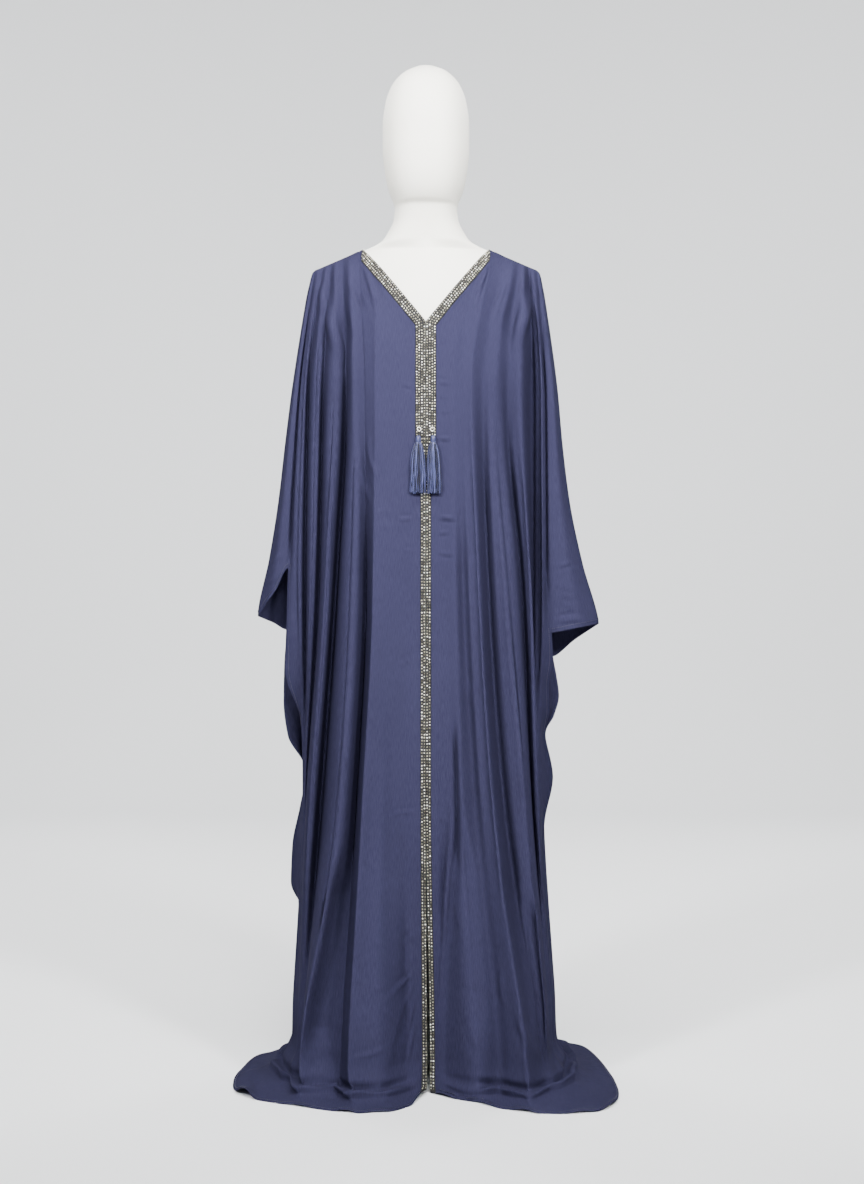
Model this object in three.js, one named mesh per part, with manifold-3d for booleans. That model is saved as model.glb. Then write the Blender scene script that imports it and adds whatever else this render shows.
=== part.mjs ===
// Open-front butterfly abaya with a beaded neck trim, on a limbless dress form. Millimetres, +Z up.
// The front faces -Y, so "out" below is a distance in front of the middle, and x is a distance sideways.
import * as THREE from 'three';
import Module from 'manifold-3d';

const wasm = await Module();
wasm.setup();

// Driving dimensions of the garment
const CLOTH = 2;                 // wall of the gown
const TRIM = 1.6;                // wall of the beaded trim
const SEAM_GAP = 0.3;            // between pieces that meet
const SEAM_EASE = 0.15;          // more room along the curved side seam
const V_POINT_Z = 1290;          // where the neck opening ends
const NECK_POINT = { x: 110, z: 1427 };
const SHOULDER_TIP = { x: 198, z: 1389 };
const SLEEVE_TOP = { x: 199, z: 1379 };    // the outer fold starts here, below the rounded tip
const COLLAR_RISE = 0.35;        // slope of the chest towards the neck, inside the neck points
const BUST_Z = 1180;             // the chest is fullest here
const PLACKET_END_Z = 1094;
const ANKLE_Z = 60;              // below this the cloth turns out over the floor
const PLACKET_STRIP = 17.5;      // width of each neck strip
const EDGE_STRIP = 9;            // width of each narrow front strip
const NECK_TRIM_DROP = 28.6;     // height that the neck strip takes, measured upright
const BACK_NECK_DIP = 26;        // how far the back neck dips in the middle
const CUFF_LEVEL_Z = 810;        // height of the cuff's row of points at the opening
const WING_INSET = 6;            // the wing line starts this far inside the shoulder tip
const SLEEVE_TOP_DROP = 3;       // of the middle line of a sleeve, for the rounded tip

// Driving dimensions of the dress form
const FORM_BOTTOM_Z = 745;
const FORM_FRONT = 102;
const FORM_BACK = 88;
const FORM_CLEAR = 0.7;          // below the cloth along the shoulders
const POLE = { radius: 16, sides: 20 };
const BASE = { radius: 98, height: 12, back: 20, taper: 2, sides: 40 };

// Grid of each panel
const CELLS_PER_FOLD = 2;
const CHEST_ROWS = 3;
const ARM_ROWS = 3;
const SLIT_ROWS = 1;
const SKIRT_ROWS = 7;
const NECK_CORNER_TOPS = [90, 102, 110];   // extra lines where the neck edge turns over the shoulder
const NECK_DROPS = [0, 0.33, 0.66, 1];     // first rows, as shares of NECK_TRIM_DROP, below the neck edge
const SHOULDER_DROPS = [0, 0.12, 0.42, 1]; // and below the shoulder, where the cloth turns over it

// Tassels
const TASSEL = { x: 12.5, head: 4.6, flat: 0.8, length: 98, spread: 13, depth: 3.6, strands: 26, thread: 0.93 };
const TASSEL_HEAD = [[0, 0.5], [2, 0.9], [5, 1], [9, 0.8], [12, 0.95]];   // distance down, share of the radius
const TASSEL_HEAD_SIDES = 8;
const THREAD_SIDES = 3;
const TASSEL_ROOT = { down: 9, reach: 0.62 };    // where the threads start inside the head
const TASSEL_UNEVEN = 4;         // difference in length between the threads
const TASSEL_ASIDE = 1.5;        // how far the tip of a tassel swings outwards
const TASSEL_RISE = 3;           // of its top above the end of the placket
const TASSEL_LEAN_BACK = 1;      // the threads hang this much nearer to the gown than its slope
const GOLDEN_TURN = 2.399963;    // spreads the threads evenly over the head

// Colours
const COLOUR = { cloth: 0x454a78, trim: 0x8f8f88, thread: 0x5c66a0, form: 0xe9e5da, metal: 0x9a9da0 };

// Fold lines run from the neck or shoulder to the hem. x and out are at the heights in LEVELS, top is
// where the line starts on the neck or shoulder edge, and hem is where it ends on the floor.
const LEVELS = [90, 500, 840, 1180];
const RIGHT_FRONT = [
  { top: 0, x: [7, 0, 0, 0], out: [128, 140, 127, 118], hem: [8, 141] },
  { top: 28, x: [33, 43, 32, 28], out: [140, 143, 127, 119], hem: [34, 172] },
  { top: 50, x: [85, 60, 50, 44], out: [190, 152, 130, 121], hem: [82, 206] },
  { top: 72, x: [120, 81, 64, 58], out: [172, 146, 126, 119], hem: [118, 243] },
  { top: 118, x: [165, 109, 88, 76], out: [214, 168, 136, 122], hem: [176, 276] },
  { top: 136, x: [191, 132, 109, 98], out: [150, 128, 112, 108], hem: [222, 279] },
  { top: 149, x: [202, 169, 140, 117], out: [128, 134, 116, 106], hem: [256, 273] },
  { top: 160, x: [210, 181, 168, 141], out: [90, 82, 78, 84], hem: [288, 255] },
  { top: 168, x: [216, 186, 176, 159], out: [66, 96, 92, 88], hem: [308, 218] },
  { top: 177, x: [214, 178, 186, 186], out: [34, 30, 26, 34], hem: [319, 168] },
  { top: 184, x: [222, 194, 198, 197], out: [8, 18, 46, 44], hem: [323, 110] },
];
const LEFT_FRONT = [
  { top: 0, x: [-2, 0, 0, 0], out: [130, 142, 127, 118], hem: [0, 143] },
  { top: 28, x: [32, 34, 30, 28], out: [152, 145, 126, 118], hem: [22, 222] },
  { top: 56, x: [79, 68, 60, 57], out: [200, 156, 130, 120], hem: [62, 268] },
  { top: 84, x: [126, 103, 87, 84], out: [205, 164, 134, 121], hem: [112, 275] },
  { top: 116, x: [141, 116, 101, 104], out: [150, 128, 112, 108], hem: [152, 260] },
  { top: 130, x: [208, 147, 128, 121], out: [170, 158, 130, 112], hem: [205, 232] },
  { top: 144, x: [209, 178, 155, 137], out: [90, 74, 72, 84], hem: [246, 208] },
  { top: 154, x: [220, 193, 168, 157], out: [60, 96, 100, 90], hem: [280, 186] },
  { top: 163, x: [219, 205, 185, 177], out: [36, 50, 60, 62], hem: [304, 162] },
  { top: 171, x: [225, 210, 198, 189], out: [12, 32, 66, 64], hem: [320, 125] },
  { top: 178, x: [229, 206, 206, 200], out: [0, 10, 40, 42], hem: [327, 80] },
  { top: 185, x: [233, 214, 220, 211], out: [-12, -10, 48, 40], hem: [329, 35] },
];
const RIGHT_BACK = [
  { top: 0, x: [0, 0, 0, 0], out: [178, 132, 112, 104], hem: [0, 255] },
  { top: 34, x: [60, 46, 36, 32], out: [205, 150, 120, 108], hem: [58, 262] },
  { top: 66, x: [104, 84, 66, 60], out: [150, 118, 104, 103], hem: [104, 264] },
  { top: 112, x: [148, 122, 98, 88], out: [196, 146, 118, 106], hem: [150, 266] },
  { top: 132, x: [176, 150, 128, 114], out: [122, 92, 84, 86], hem: [196, 266] },
  { top: 148, x: [206, 176, 152, 138], out: [150, 118, 98, 87], hem: [236, 258] },
  { top: 160, x: [214, 190, 170, 158], out: [92, 60, 52, 58], hem: [264, 240] },
  { top: 170, x: [226, 200, 186, 178], out: [90, 76, 66, 58], hem: [286, 200] },
  { top: 178, x: [224, 198, 196, 193], out: [58, 56, 30, 32], hem: [302, 140] },
  { top: 185, x: [228, 206, 204, 201], out: [38, 64, 42, 36], hem: [314, 60] },
];
const LEFT_BACK = [
  { top: 0, x: [0, 0, 0, 0], out: [178, 132, 112, 104], hem: [0, 255] },
  { top: 30, x: [54, 40, 30, 28], out: [160, 120, 106, 103], hem: [52, 256] },
  { top: 60, x: [98, 78, 60, 54], out: [200, 148, 118, 107], hem: [100, 257] },
  { top: 114, x: [134, 112, 92, 82], out: [136, 108, 96, 98], hem: [144, 252] },
  { top: 130, x: [170, 146, 122, 107], out: [172, 130, 106, 93], hem: [186, 238] },
  { top: 145, x: [190, 170, 148, 133], out: [108, 78, 66, 73], hem: [224, 222] },
  { top: 157, x: [210, 190, 170, 153], out: [118, 96, 84, 75], hem: [256, 200] },
  { top: 168, x: [218, 200, 190, 175], out: [80, 64, 40, 45], hem: [280, 170] },
  { top: 177, x: [227, 212, 206, 193], out: [74, 86, 54, 45], hem: [298, 130] },
  { top: 185, x: [228, 216, 214, 206], out: [52, 74, 34, 30], hem: [314, 80] },
];

// The wing edge of each side: free front and back edges of the cuff slit, then the seam that joins them.
// In every row: height, x and out.
const RIGHT_WING = {
  front: [[1180, 207, 26], [840, 211, 30], [765, 216, 32], [700, 225, 16], [655, 233, 4]],
  back: [[1180, 208, -28], [840, 214, -42], [722, 223, -46], [655, 231, -32]],
  seam: [[586, 208, -24], [497, 223, -38], [400, 201, -40], [310, 206, -30], [192, 219, -25], [72, 228, -22]],
  hem: [322, 40],
};
const LEFT_WING = {
  front: [[1180, 219, 24], [876, 237, 30], [773, 240, 30], [718, 243, 20], [650, 250, 8]],
  back: [[1180, 219, -28], [876, 232, -42], [769, 244, -46], [670, 250, -30]],
  seam: [[595, 252, -8], [509, 216, -30], [431, 227, -52], [342, 241, -58], [247, 205, -42], [163, 213, -32],
    [60, 235, -30]],
  hem: [327, -5],
};
// The outer fold of each sleeve, from the shoulder tip to the corner of the cuff: height and x
const RIGHT_SLEEVE = {
  fold: [[1325, 209], [1237, 221], [1164, 230], [1072, 238], [960, 254], [780, 299]],
  cuff: { corner: 780, front: 765, back: 722 },
};
const LEFT_SLEEVE = {
  fold: [[1325, 211], [1237, 224], [1164, 235], [1065, 247], [958, 260], [793, 291]],
  cuff: { corner: 793, front: 876, back: 769 },
};
const SLEEVE_BELLY = 8;          // how far the middle of a sleeve panel stands out
const SLEEVE_KEEP = 0.65;        // share of the wing's depth left at the middle of the sleeve

// Half width, front and back depth of the dress form at each height
const FORM_BODY = [
  { z: 745, half: 128, front: 74, back: 84 },
  { z: 756, half: 142, front: 86, back: 96 },
  { z: 840, half: 150, front: 92, back: 98 },
  { z: 930, half: 138, front: 88, back: 88 },
  { z: 1010, half: 126, front: 88, back: 78 },
  { z: 1100, half: 146, front: 99, back: 86 },
  { z: BUST_Z, half: 165, front: FORM_FRONT, back: FORM_BACK },
];
const FORM_SHOULDER = [
  { z: 1240, half: 172 }, { z: 1300, half: 176 }, { z: 1345, half: 177 }, { z: 1372, half: 176 },
  { z: 1384, half: 174 },
];
const FORM_RIDGE = [1391, 1398, 1406, 1414, 1420, 1424.6];   // heights of the rings up to the neck
const FORM_SIDES = 24;
const FORM_POWER = 2.4;          // of the rounded section: 2 is an ellipse, more is squarer
const FORM_SHOULDER_END = { z: 1398, half: 172, slope: 3 };  // the rounded end of each shoulder
const FORM_HEAD = [
  { z: 1440, half: 78, front: 50, back: 48 },
  { z: 1455, half: 67, front: 51, back: 50 },
  { z: 1478, half: 56, front: 53, back: 52 },
  { z: 1498, half: 54, front: 56, back: 54 },
  { z: 1508, half: 56, front: 70, back: 56 },
  { z: 1528, half: 64, front: 83, back: 64 },
  { z: 1560, half: 71, front: 91, back: 78 },
  { z: 1600, half: 75, front: 94, back: 91 },
  { z: 1640, half: 75, front: 93, back: 96 },
  { z: 1680, half: 70, front: 86, back: 92 },
  { z: 1711, half: 58, front: 71, back: 77 },
  { z: 1732, half: 38, front: 47, back: 50 },
  { z: 1743, half: 17, front: 21, back: 22 },
];

const clamp = THREE.MathUtils.clamp;
const mix = THREE.MathUtils.lerp;

// A smooth curve through values at rising knots that never overshoots them
function smoothThrough(knots, values) {
  const last = knots.length - 1;
  const slope = knots.slice(1).map((knot, i) => (values[i + 1] - values[i]) / (knot - knots[i]));
  const tangent = values.map((value, i) => {
    if (i === 0) return slope[0];
    if (i === last) return slope[last - 1];
    const before = slope[i - 1];
    const after = slope[i];
    return before * after <= 0 ? 0 : (2 * before * after) / (before + after);
  });
  return (at) => {
    const t = clamp(at, knots[0], knots[last]);
    let i = 0;
    while (i < last - 1 && t > knots[i + 1]) i += 1;
    const span = knots[i + 1] - knots[i];
    const s = (t - knots[i]) / span;
    const rise = s * s * (3 - 2 * s);
    const bend = tangent[i] * (s - 2 * s * s + s * s * s) + tangent[i + 1] * (s * s * s - s * s);
    return mix(values[i], values[i + 1], rise) + bend * span;
  };
}

// Height of the shoulder line over x, carried on towards the neck inside the neck points
function ridgeZ(x) {
  const slope = (NECK_POINT.z - SHOULDER_TIP.z) / (SHOULDER_TIP.x - NECK_POINT.x);
  return x > NECK_POINT.x ? NECK_POINT.z - slope * (x - NECK_POINT.x)
    : NECK_POINT.z + COLLAR_RISE * (NECK_POINT.x - x);
}

// Share of the chest depth at a height: a quarter round from the shoulder line down to the bust
function chestRound(z, ridge) {
  const down = clamp((ridge - z) / (ridge - BUST_Z), 0, 1);
  return Math.sqrt(1 - (1 - down) ** 2);
}

// Height of the neck edge over x, in front and behind
const neckEdge = {
  front: (x) => mix(V_POINT_Z, NECK_POINT.z, x / NECK_POINT.x),
  back: (x) => NECK_POINT.z - BACK_NECK_DIP * (1 - (x / NECK_POINT.x) ** 2),
};

// One line of a panel as functions of height. A line from the neck goes on above the edge, unused.
function foldLine(row, face) {
  const onNeck = row.top <= NECK_POINT.x;
  const ridge = ridgeZ(row.top);
  const topZ = onNeck ? neckEdge[face](row.top) : ridge;
  const heights = onNeck ? [...LEVELS, topZ, ridge + 1] : [...LEVELS, topZ];
  const across = onNeck ? [...row.x, row.top, row.top] : [...row.x, row.top];
  const depth = smoothThrough(LEVELS, row.out);
  return {
    topZ,
    x: smoothThrough(heights, across),
    out: (z) => (z > BUST_Z ? row.out[3] * chestRound(z, ridge) : depth(z)),
    hem: row.hem,
  };
}

// A line a fixed width from the opening edge, between the first two lines of a front
function stripLine(edge, next, width) {
  const share = (z) => width / (next.x(z) - edge.x(z));
  return {
    topZ: neckEdge.front(width),
    x: (z) => edge.x(z) + width,
    out: (z) => mix(edge.out(z), next.out(z), share(z)),
    hem: [edge.hem[0] + width, mix(edge.hem[1], next.hem[1], width / (next.hem[0] - edge.hem[0]))],
  };
}

// The wing line of one face, from just inside the shoulder tip down to the hem
function wingLine(wing, face) {
  const top = SHOULDER_TIP.x - WING_INSET;
  const rows = [...wing[face], ...wing.seam].reverse();
  const ridge = ridgeZ(top);
  const sign = face === 'front' ? 1 : -1;
  const depth = smoothThrough(rows.map((row) => row[0]), rows.map((row) => row[2] * sign));
  const bust = depth(BUST_Z);
  return {
    topZ: ridge,
    x: smoothThrough([...rows.map((row) => row[0]), ridge], [...rows.map((row) => row[1]), top]),
    out: (z) => (z > BUST_Z ? bust * chestRound(z, ridge) : depth(z)),
    hem: [wing.hem[0], wing.hem[1] * sign],
  };
}

// The outer fold of a sleeve, and the line halfway over its panel
function sleeveLines(sleeve, wing) {
  const rows = [...sleeve.fold].reverse();
  const fold = {
    topZ: SLEEVE_TOP.z,
    x: smoothThrough([...rows.map((row) => row[0]), SLEEVE_TOP.z], [...rows.map((row) => row[1]), SLEEVE_TOP.x]),
    out: () => 0,
    hem: wing.hem,
  };
  const ridge = ridgeZ(SHOULDER_TIP.x - WING_INSET / 2) - SLEEVE_TOP_DROP;
  const middle = {
    topZ: ridge,
    x: (z) => mix(wing.x(z), fold.x(z), 0.5),
    out: (z) => wing.out(z) * SLEEVE_KEEP + SLEEVE_BELLY * chestRound(z, ridge),
    hem: wing.hem,
  };
  return [middle, fold];
}

// Heights of the rows of one line, from its top to the ankle. The rows meet the end of the placket and
// the edge of the cuff, and the end of the cuff slit, on every line.
function rowHeights(line, cuffZ, slitZ, onNeck) {
  const drops = onNeck ? NECK_DROPS : SHOULDER_DROPS;
  const heights = drops.map((drop) => line.topZ - drop * NECK_TRIM_DROP);
  const lastDrop = heights[heights.length - 1];
  for (let i = 1; i <= CHEST_ROWS; i += 1) heights.push(mix(lastDrop, PLACKET_END_Z, i / CHEST_ROWS));
  for (let i = 1; i <= ARM_ROWS; i += 1) heights.push(mix(PLACKET_END_Z, cuffZ, i / ARM_ROWS));
  for (let i = 1; i <= SLIT_ROWS; i += 1) heights.push(mix(cuffZ, slitZ, i / SLIT_ROWS));
  for (let i = 1; i <= SKIRT_ROWS; i += 1) heights.push(mix(slitZ, ANKLE_Z, i / SKIRT_ROWS));
  return heights;
}
const TRIM_ROW = 3;
const PLACKET_ROW = TRIM_ROW + CHEST_ROWS;
const CUFF_ROW = PLACKET_ROW + ARM_ROWS;
const ANKLE_ROW = CUFF_ROW + SLIT_ROWS + SKIRT_ROWS;

// Points where the cloth turns out over the floor: share of the way to the hem, and height
const FLOOR_TURN = [{ way: 0.3, z: 20 }, { way: 0.62, z: 6 }, { way: 1, z: CLOTH / 2 }];

// One line of a panel as a column of points. y is the real one, so -out in front and +out behind.
function columnPoints(line, cuffZ, slitZ, onNeck, face, side) {
  const toY = face === 'front' ? -1 : 1;
  const points = rowHeights(line, cuffZ, slitZ, onNeck)
    .map((z) => new THREE.Vector3(line.x(z), line.out(z), z));
  const ankle = points[ANKLE_ROW];
  for (const { way, z } of FLOOR_TURN) {
    points.push(new THREE.Vector3(mix(ankle.x, line.hem[0], way), mix(ankle.y, line.hem[1], way), z));
  }
  return points.map((point) => new THREE.Vector3(point.x * side, point.y * toY, point.z));
}

// Smooth columns between the lines of a panel, row by row
function refineColumns(columns, cells) {
  const rows = columns[0].length;
  const places = columns.map((column, i) => i);
  const stations = [];
  columns.forEach((column, i) => {
    stations.push(i);
    const count = i < columns.length - 1 ? cells[i] : 1;
    for (let step = 1; step < count; step += 1) stations.push(i + step / count);
  });
  const grid = stations.map(() => new Array(rows));
  for (let row = 0; row < rows; row += 1) {
    const curve = ['x', 'y', 'z'].map((axis) => smoothThrough(places, columns.map((column) => column[row][axis])));
    stations.forEach((station, j) => {
      grid[j][row] = new THREE.Vector3(curve[0](station), curve[1](station), curve[2](station));
    });
  }
  return { grid, columnOf: (line) => stations.indexOf(line) };
}

// Normals of a grid of points, pointing away from the hollow
function gridNormals(grid, present, outward) {
  const has = (i, j) => i >= 0 && i < grid.length && j >= 0 && j < grid[0].length && present(i, j);
  return grid.map((column, i) => column.map((point, j) => {
    if (!has(i, j)) return null;
    const alongU = grid[has(i + 1, j) ? i + 1 : i][j].clone().sub(grid[has(i - 1, j) ? i - 1 : i][j]);
    const alongV = grid[i][has(i, j + 1) ? j + 1 : j].clone().sub(grid[i][has(i, j - 1) ? j - 1 : j]);
    return alongU.cross(alongV).normalize().multiplyScalar(outward);
  }));
}

// A closed wall over the cells of a grid that the mask keeps
function wallGeometry(outer, inner, keeps) {
  const columns = outer.length;
  const rows = outer[0].length;
  const positions = [];
  const index = [];
  const numbers = new Map();
  const vertex = (layer, i, j) => {
    const key = `${layer},${i},${j}`;
    if (!numbers.has(key)) {
      numbers.set(key, positions.length / 3);
      positions.push(...(layer ? inner : outer)[i][j].toArray());
    }
    return numbers.get(key);
  };
  const quad = (a, b, c, d) => index.push(a, b, c, a, c, d);
  const kept = (i, j) => i >= 0 && j >= 0 && i < columns - 1 && j < rows - 1 && keeps(i, j);
  for (let i = 0; i < columns - 1; i += 1) {
    for (let j = 0; j < rows - 1; j += 1) {
      if (!kept(i, j)) continue;
      const corners = [[i, j], [i, j + 1], [i + 1, j + 1], [i + 1, j]];
      quad(...corners.map(([a, b]) => vertex(0, a, b)));
      const [first, ...others] = corners;
      quad(...[first, ...others.reverse()].map(([a, b]) => vertex(1, a, b)));
      const neighbours = [[i - 1, j], [i, j + 1], [i + 1, j], [i, j - 1]];
      neighbours.forEach(([a, b], side) => {
        if (kept(a, b)) return;
        const [p, q] = [corners[side], corners[(side + 1) % 4]];
        quad(vertex(0, ...q), vertex(0, ...p), vertex(1, ...p), vertex(1, ...q));
      });
    }
  }
  return closedGeometry(positions, index);
}

// A geometry whose faces point out, whichever way its quads were wound
function closedGeometry(positions, index) {
  let volume = 0;
  const corner = (k) => new THREE.Vector3().fromArray(positions, 3 * index[k]);
  for (let k = 0; k < index.length; k += 3) volume += corner(k).dot(corner(k + 1).cross(corner(k + 2)));
  if (volume < 0) {
    for (let k = 0; k < index.length; k += 3) [index[k], index[k + 1]] = [index[k + 1], index[k]];
  }
  const geometry = new THREE.BufferGeometry();
  geometry.setAttribute('position', new THREE.Float32BufferAttribute(positions, 3));
  geometry.setIndex(index);
  return geometry;
}

// A panel of one side: its grid, the normals, and where the sleeve begins
function makePanel({ rows, wing, sleeve, face, side }) {
  const lines = rows.map((row) => foldLine(row, face));
  const neckLines = rows.filter((row) => row.top < NECK_POINT.x).length;
  const strips = face === 'front' ? [EDGE_STRIP, PLACKET_STRIP].map((w) => stripLine(lines[0], lines[1], w)) : [];
  const corner = NECK_CORNER_TOPS.filter((top) => top > rows[neckLines - 1].top)
    .map((top) => foldLine(rowBetween(rows, neckLines, top), face));
  const wingOfFace = wingLine(wing, face);
  const all = [lines[0], ...strips, ...lines.slice(1, neckLines), ...corner, ...lines.slice(neckLines), wingOfFace];
  const neckCount = strips.length + neckLines + corner.length;
  const wingIndex = all.length - 1;
  all.push(...sleeveLines(sleeve, wingOfFace));
  const cuffHeights = all.map((line, i) => (i <= wingIndex
    ? mix(CUFF_LEVEL_Z, sleeve.cuff[face], (i / wingIndex) ** 3)
    : mix(sleeve.cuff[face], sleeve.cuff.corner, (i - wingIndex) / 2)));
  const columns = all.map((line, i) => columnPoints(line, cuffHeights[i], wing.seam[0][0], i < neckCount,
    face, side));
  const cells = all.map((line, i) => {
    const short = i < strips.length || (i >= neckCount - corner.length && i < neckCount - 1);
    return short ? 1 : CELLS_PER_FOLD;
  });
  const { grid, columnOf } = refineColumns(columns, cells);
  const wingColumn = columnOf(wingIndex);
  const present = (i, j) => i <= wingColumn || j <= CUFF_ROW;
  const outward = (face === 'front' ? -1 : 1) * side;
  const normals = gridNormals(grid, present, outward);
  return { grid, normals, present, wingColumn, columnOf, neckColumn: columnOf(neckCount - 1), side, face };
}

// A line between two rows of a table, started at a place of its own on the neck edge
function rowBetween(rows, after, top) {
  const [low, high] = [rows[after - 1], rows[after]];
  const share = (top - low.top) / (high.top - low.top);
  const blend = (a, b) => a.map((value, i) => mix(value, b[i], share));
  return {
    top,
    x: blend(low.x, high.x),
    out: blend(low.out, high.out),
    hem: blend(low.hem, high.hem),
  };
}

// Points of a panel moved out along its normals. The edges that meet another piece are drawn back.
function movedOut(panel, distance) {
  const last = panel.grid.length - 1;
  const toY = panel.face === 'front' ? -1 : 1;
  return panel.grid.map((column, i) => column.map((point, j) => {
    const normal = panel.normals[i][j];
    if (!normal) return null;
    const moved = point.clone().addScaledVector(normal, distance);
    const onSeam = i === last || (i === panel.wingColumn && j > CUFF_ROW);
    const onShoulder = j === 0 && i >= panel.neckColumn;
    if (onSeam || onShoulder) moved.y += toY * (SEAM_GAP / 2 + Math.abs(normal.y) * CLOTH / 2);
    if (onSeam && i < last) moved.y += toY * SEAM_EASE;
    if (i === 0) moved.x = point.x + panel.side * SEAM_GAP / 2;
    moved.z = Math.max(moved.z, 0);
    return moved;
  }));
}

function panelGeometry(panel) {
  const keeps = (i, j) => i < panel.wingColumn || j < CUFF_ROW;
  return wallGeometry(movedOut(panel, CLOTH / 2), movedOut(panel, -CLOTH / 2), keeps);
}

// A strip of trim on a panel, over the cells that the mask keeps. A strip that starts below another one
// is drawn down from it at its first row.
function trimGeometry(panel, keeps, firstRow = 0) {
  const near = CLOTH / 2 + SEAM_GAP;
  const layers = [movedOut(panel, near + TRIM), movedOut(panel, near)];
  if (firstRow > 0) layers.forEach((layer) => layer.forEach((column) => { column[firstRow].z -= SEAM_GAP; }));
  return wallGeometry(...layers, keeps);
}

// A stack of rings closed at both ends
function ringStack(rings) {
  const size = rings[0].length;
  const positions = rings.flat().flatMap((point) => point.toArray());
  const index = [];
  for (let k = 0; k < rings.length - 1; k += 1) {
    for (let i = 0; i < size; i += 1) {
      const j = (i + 1) % size;
      index.push(k * size + i, k * size + j, (k + 1) * size + j);
      index.push(k * size + i, (k + 1) * size + j, (k + 1) * size + i);
    }
  }
  const top = (rings.length - 1) * size;
  for (let i = 1; i < size - 1; i += 1) {
    index.push(0, i + 1, i);
    index.push(top, top + i, top + i + 1);
  }
  return closedGeometry(positions, index);
}

// Dress form: hips, waist and bust, shoulders that carry the gown, neck and a blank egg-shaped head
function formGeometry() {
  const shape = (half, front, back, z, share) => Array.from({ length: FORM_SIDES }, (unused, i) => {
    const angle = (2 * Math.PI * i) / FORM_SIDES;
    const x = half * Math.cos(angle);
    const depth = (1 - Math.abs(Math.cos(angle)) ** FORM_POWER) ** (1 / FORM_POWER) * share(Math.abs(x));
    return new THREE.Vector3(x, depth * (Math.sin(angle) > 0 ? back : -front), z);
  });
  const below = CLOTH / 2 + FORM_CLEAR;
  const shoulderShare = (z) => (x) => chestRound(z, ridgeZ(x) - below);
  const slope = (NECK_POINT.z - SHOULDER_TIP.z) / (SHOULDER_TIP.x - NECK_POINT.x);
  const end = FORM_SHOULDER_END;
  const ridgeRings = FORM_RIDGE.map((z) => {
    const half = Math.min(NECK_POINT.x + (NECK_POINT.z - below - z) / slope, end.half + (end.z - z) / end.slope);
    return shape(half, FORM_FRONT, FORM_BACK, z, shoulderShare(z));
  });
  return ringStack([
    ...FORM_BODY.map((row) => shape(row.half, row.front, row.back, row.z, () => 1)),
    ...FORM_SHOULDER.map((row) => shape(row.half, FORM_FRONT, FORM_BACK, row.z, shoulderShare(row.z))),
    ...ridgeRings,
    ...FORM_HEAD.map((row) => shape(row.half, row.front, row.back, row.z, () => 1)),
  ]);
}

function solidOf(geometry) {
  const vertProperties = new Float32Array(geometry.attributes.position.array);
  const triVerts = new Uint32Array(geometry.index.array);
  return new wasm.Manifold(new wasm.Mesh({ numProp: 3, vertProperties, triVerts }));
}

function geometryOf(solid) {
  const mesh = solid.getMesh();
  return closedGeometry([...mesh.vertProperties], [...mesh.triVerts]);
}

// A tassel: a round head, and threads whose roots are fused into it
function tasselGeometry(centre, lean, side) {
  const rings = TASSEL_HEAD.map(([down, share]) => Array.from({ length: TASSEL_HEAD_SIDES }, (unused, i) => {
    const angle = (2 * Math.PI * i) / TASSEL_HEAD_SIDES;
    const radius = TASSEL.head * share;
    return new THREE.Vector3(centre.x + radius * Math.cos(angle),
      centre.y + radius * TASSEL.flat * Math.sin(angle), centre.z - down);
  }));
  let solid = solidOf(ringStack(rings));
  for (let i = 0; i < TASSEL.strands; i += 1) {
    const turn = i * GOLDEN_TURN;
    const reach = Math.sqrt((i + 0.5) / TASSEL.strands);
    const root = reach * TASSEL.head * TASSEL_ROOT.reach;
    const drop = TASSEL.length - TASSEL_UNEVEN * Math.abs(Math.sin(3 * turn));
    const ends = [
      { down: TASSEL_ROOT.down, x: root * Math.cos(turn), y: root * TASSEL.flat * Math.sin(turn) },
      { down: drop, x: reach * TASSEL.spread * Math.cos(turn) + side * TASSEL_ASIDE,
        y: reach * TASSEL.depth * Math.sin(turn) },
    ];
    const levels = ends.map((end) => Array.from({ length: THREAD_SIDES }, (unused, k) => {
      const angle = turn + (2 * Math.PI * k) / THREAD_SIDES;
      return new THREE.Vector3(centre.x + end.x + TASSEL.thread * Math.cos(angle),
        centre.y + end.y + lean * (end.down / TASSEL.length) + TASSEL.thread * Math.sin(angle),
        centre.z - end.down);
    }));
    solid = solid.add(solidOf(ringStack(levels)));
  }
  return geometryOf(solid);
}

// The finished object
const abaya = new THREE.Group();
const finish = {
  cloth: { color: COLOUR.cloth, roughness: 0.8, metalness: 0 },
  trim: { color: COLOUR.trim, roughness: 0.4, metalness: 0.4 },
  thread: { color: COLOUR.thread, roughness: 0.5, metalness: 0 },
  form: { color: COLOUR.form, roughness: 0.6, metalness: 0 },
  metal: { color: COLOUR.metal, roughness: 0.35, metalness: 0.9 },
};
function addPiece(name, geometry, look) {
  const mesh = new THREE.Mesh(geometry, new THREE.MeshStandardMaterial(finish[look]));
  mesh.name = name;
  abaya.add(mesh);
  return mesh;
}

const fronts = {
  right: makePanel({ rows: RIGHT_FRONT, wing: RIGHT_WING, sleeve: RIGHT_SLEEVE, face: 'front', side: 1 }),
  left: makePanel({ rows: LEFT_FRONT, wing: LEFT_WING, sleeve: LEFT_SLEEVE, face: 'front', side: -1 }),
};
const backs = {
  right: makePanel({ rows: RIGHT_BACK, wing: RIGHT_WING, sleeve: RIGHT_SLEEVE, face: 'back', side: 1 }),
  left: makePanel({ rows: LEFT_BACK, wing: LEFT_WING, sleeve: LEFT_SLEEVE, face: 'back', side: -1 }),
};

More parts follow.
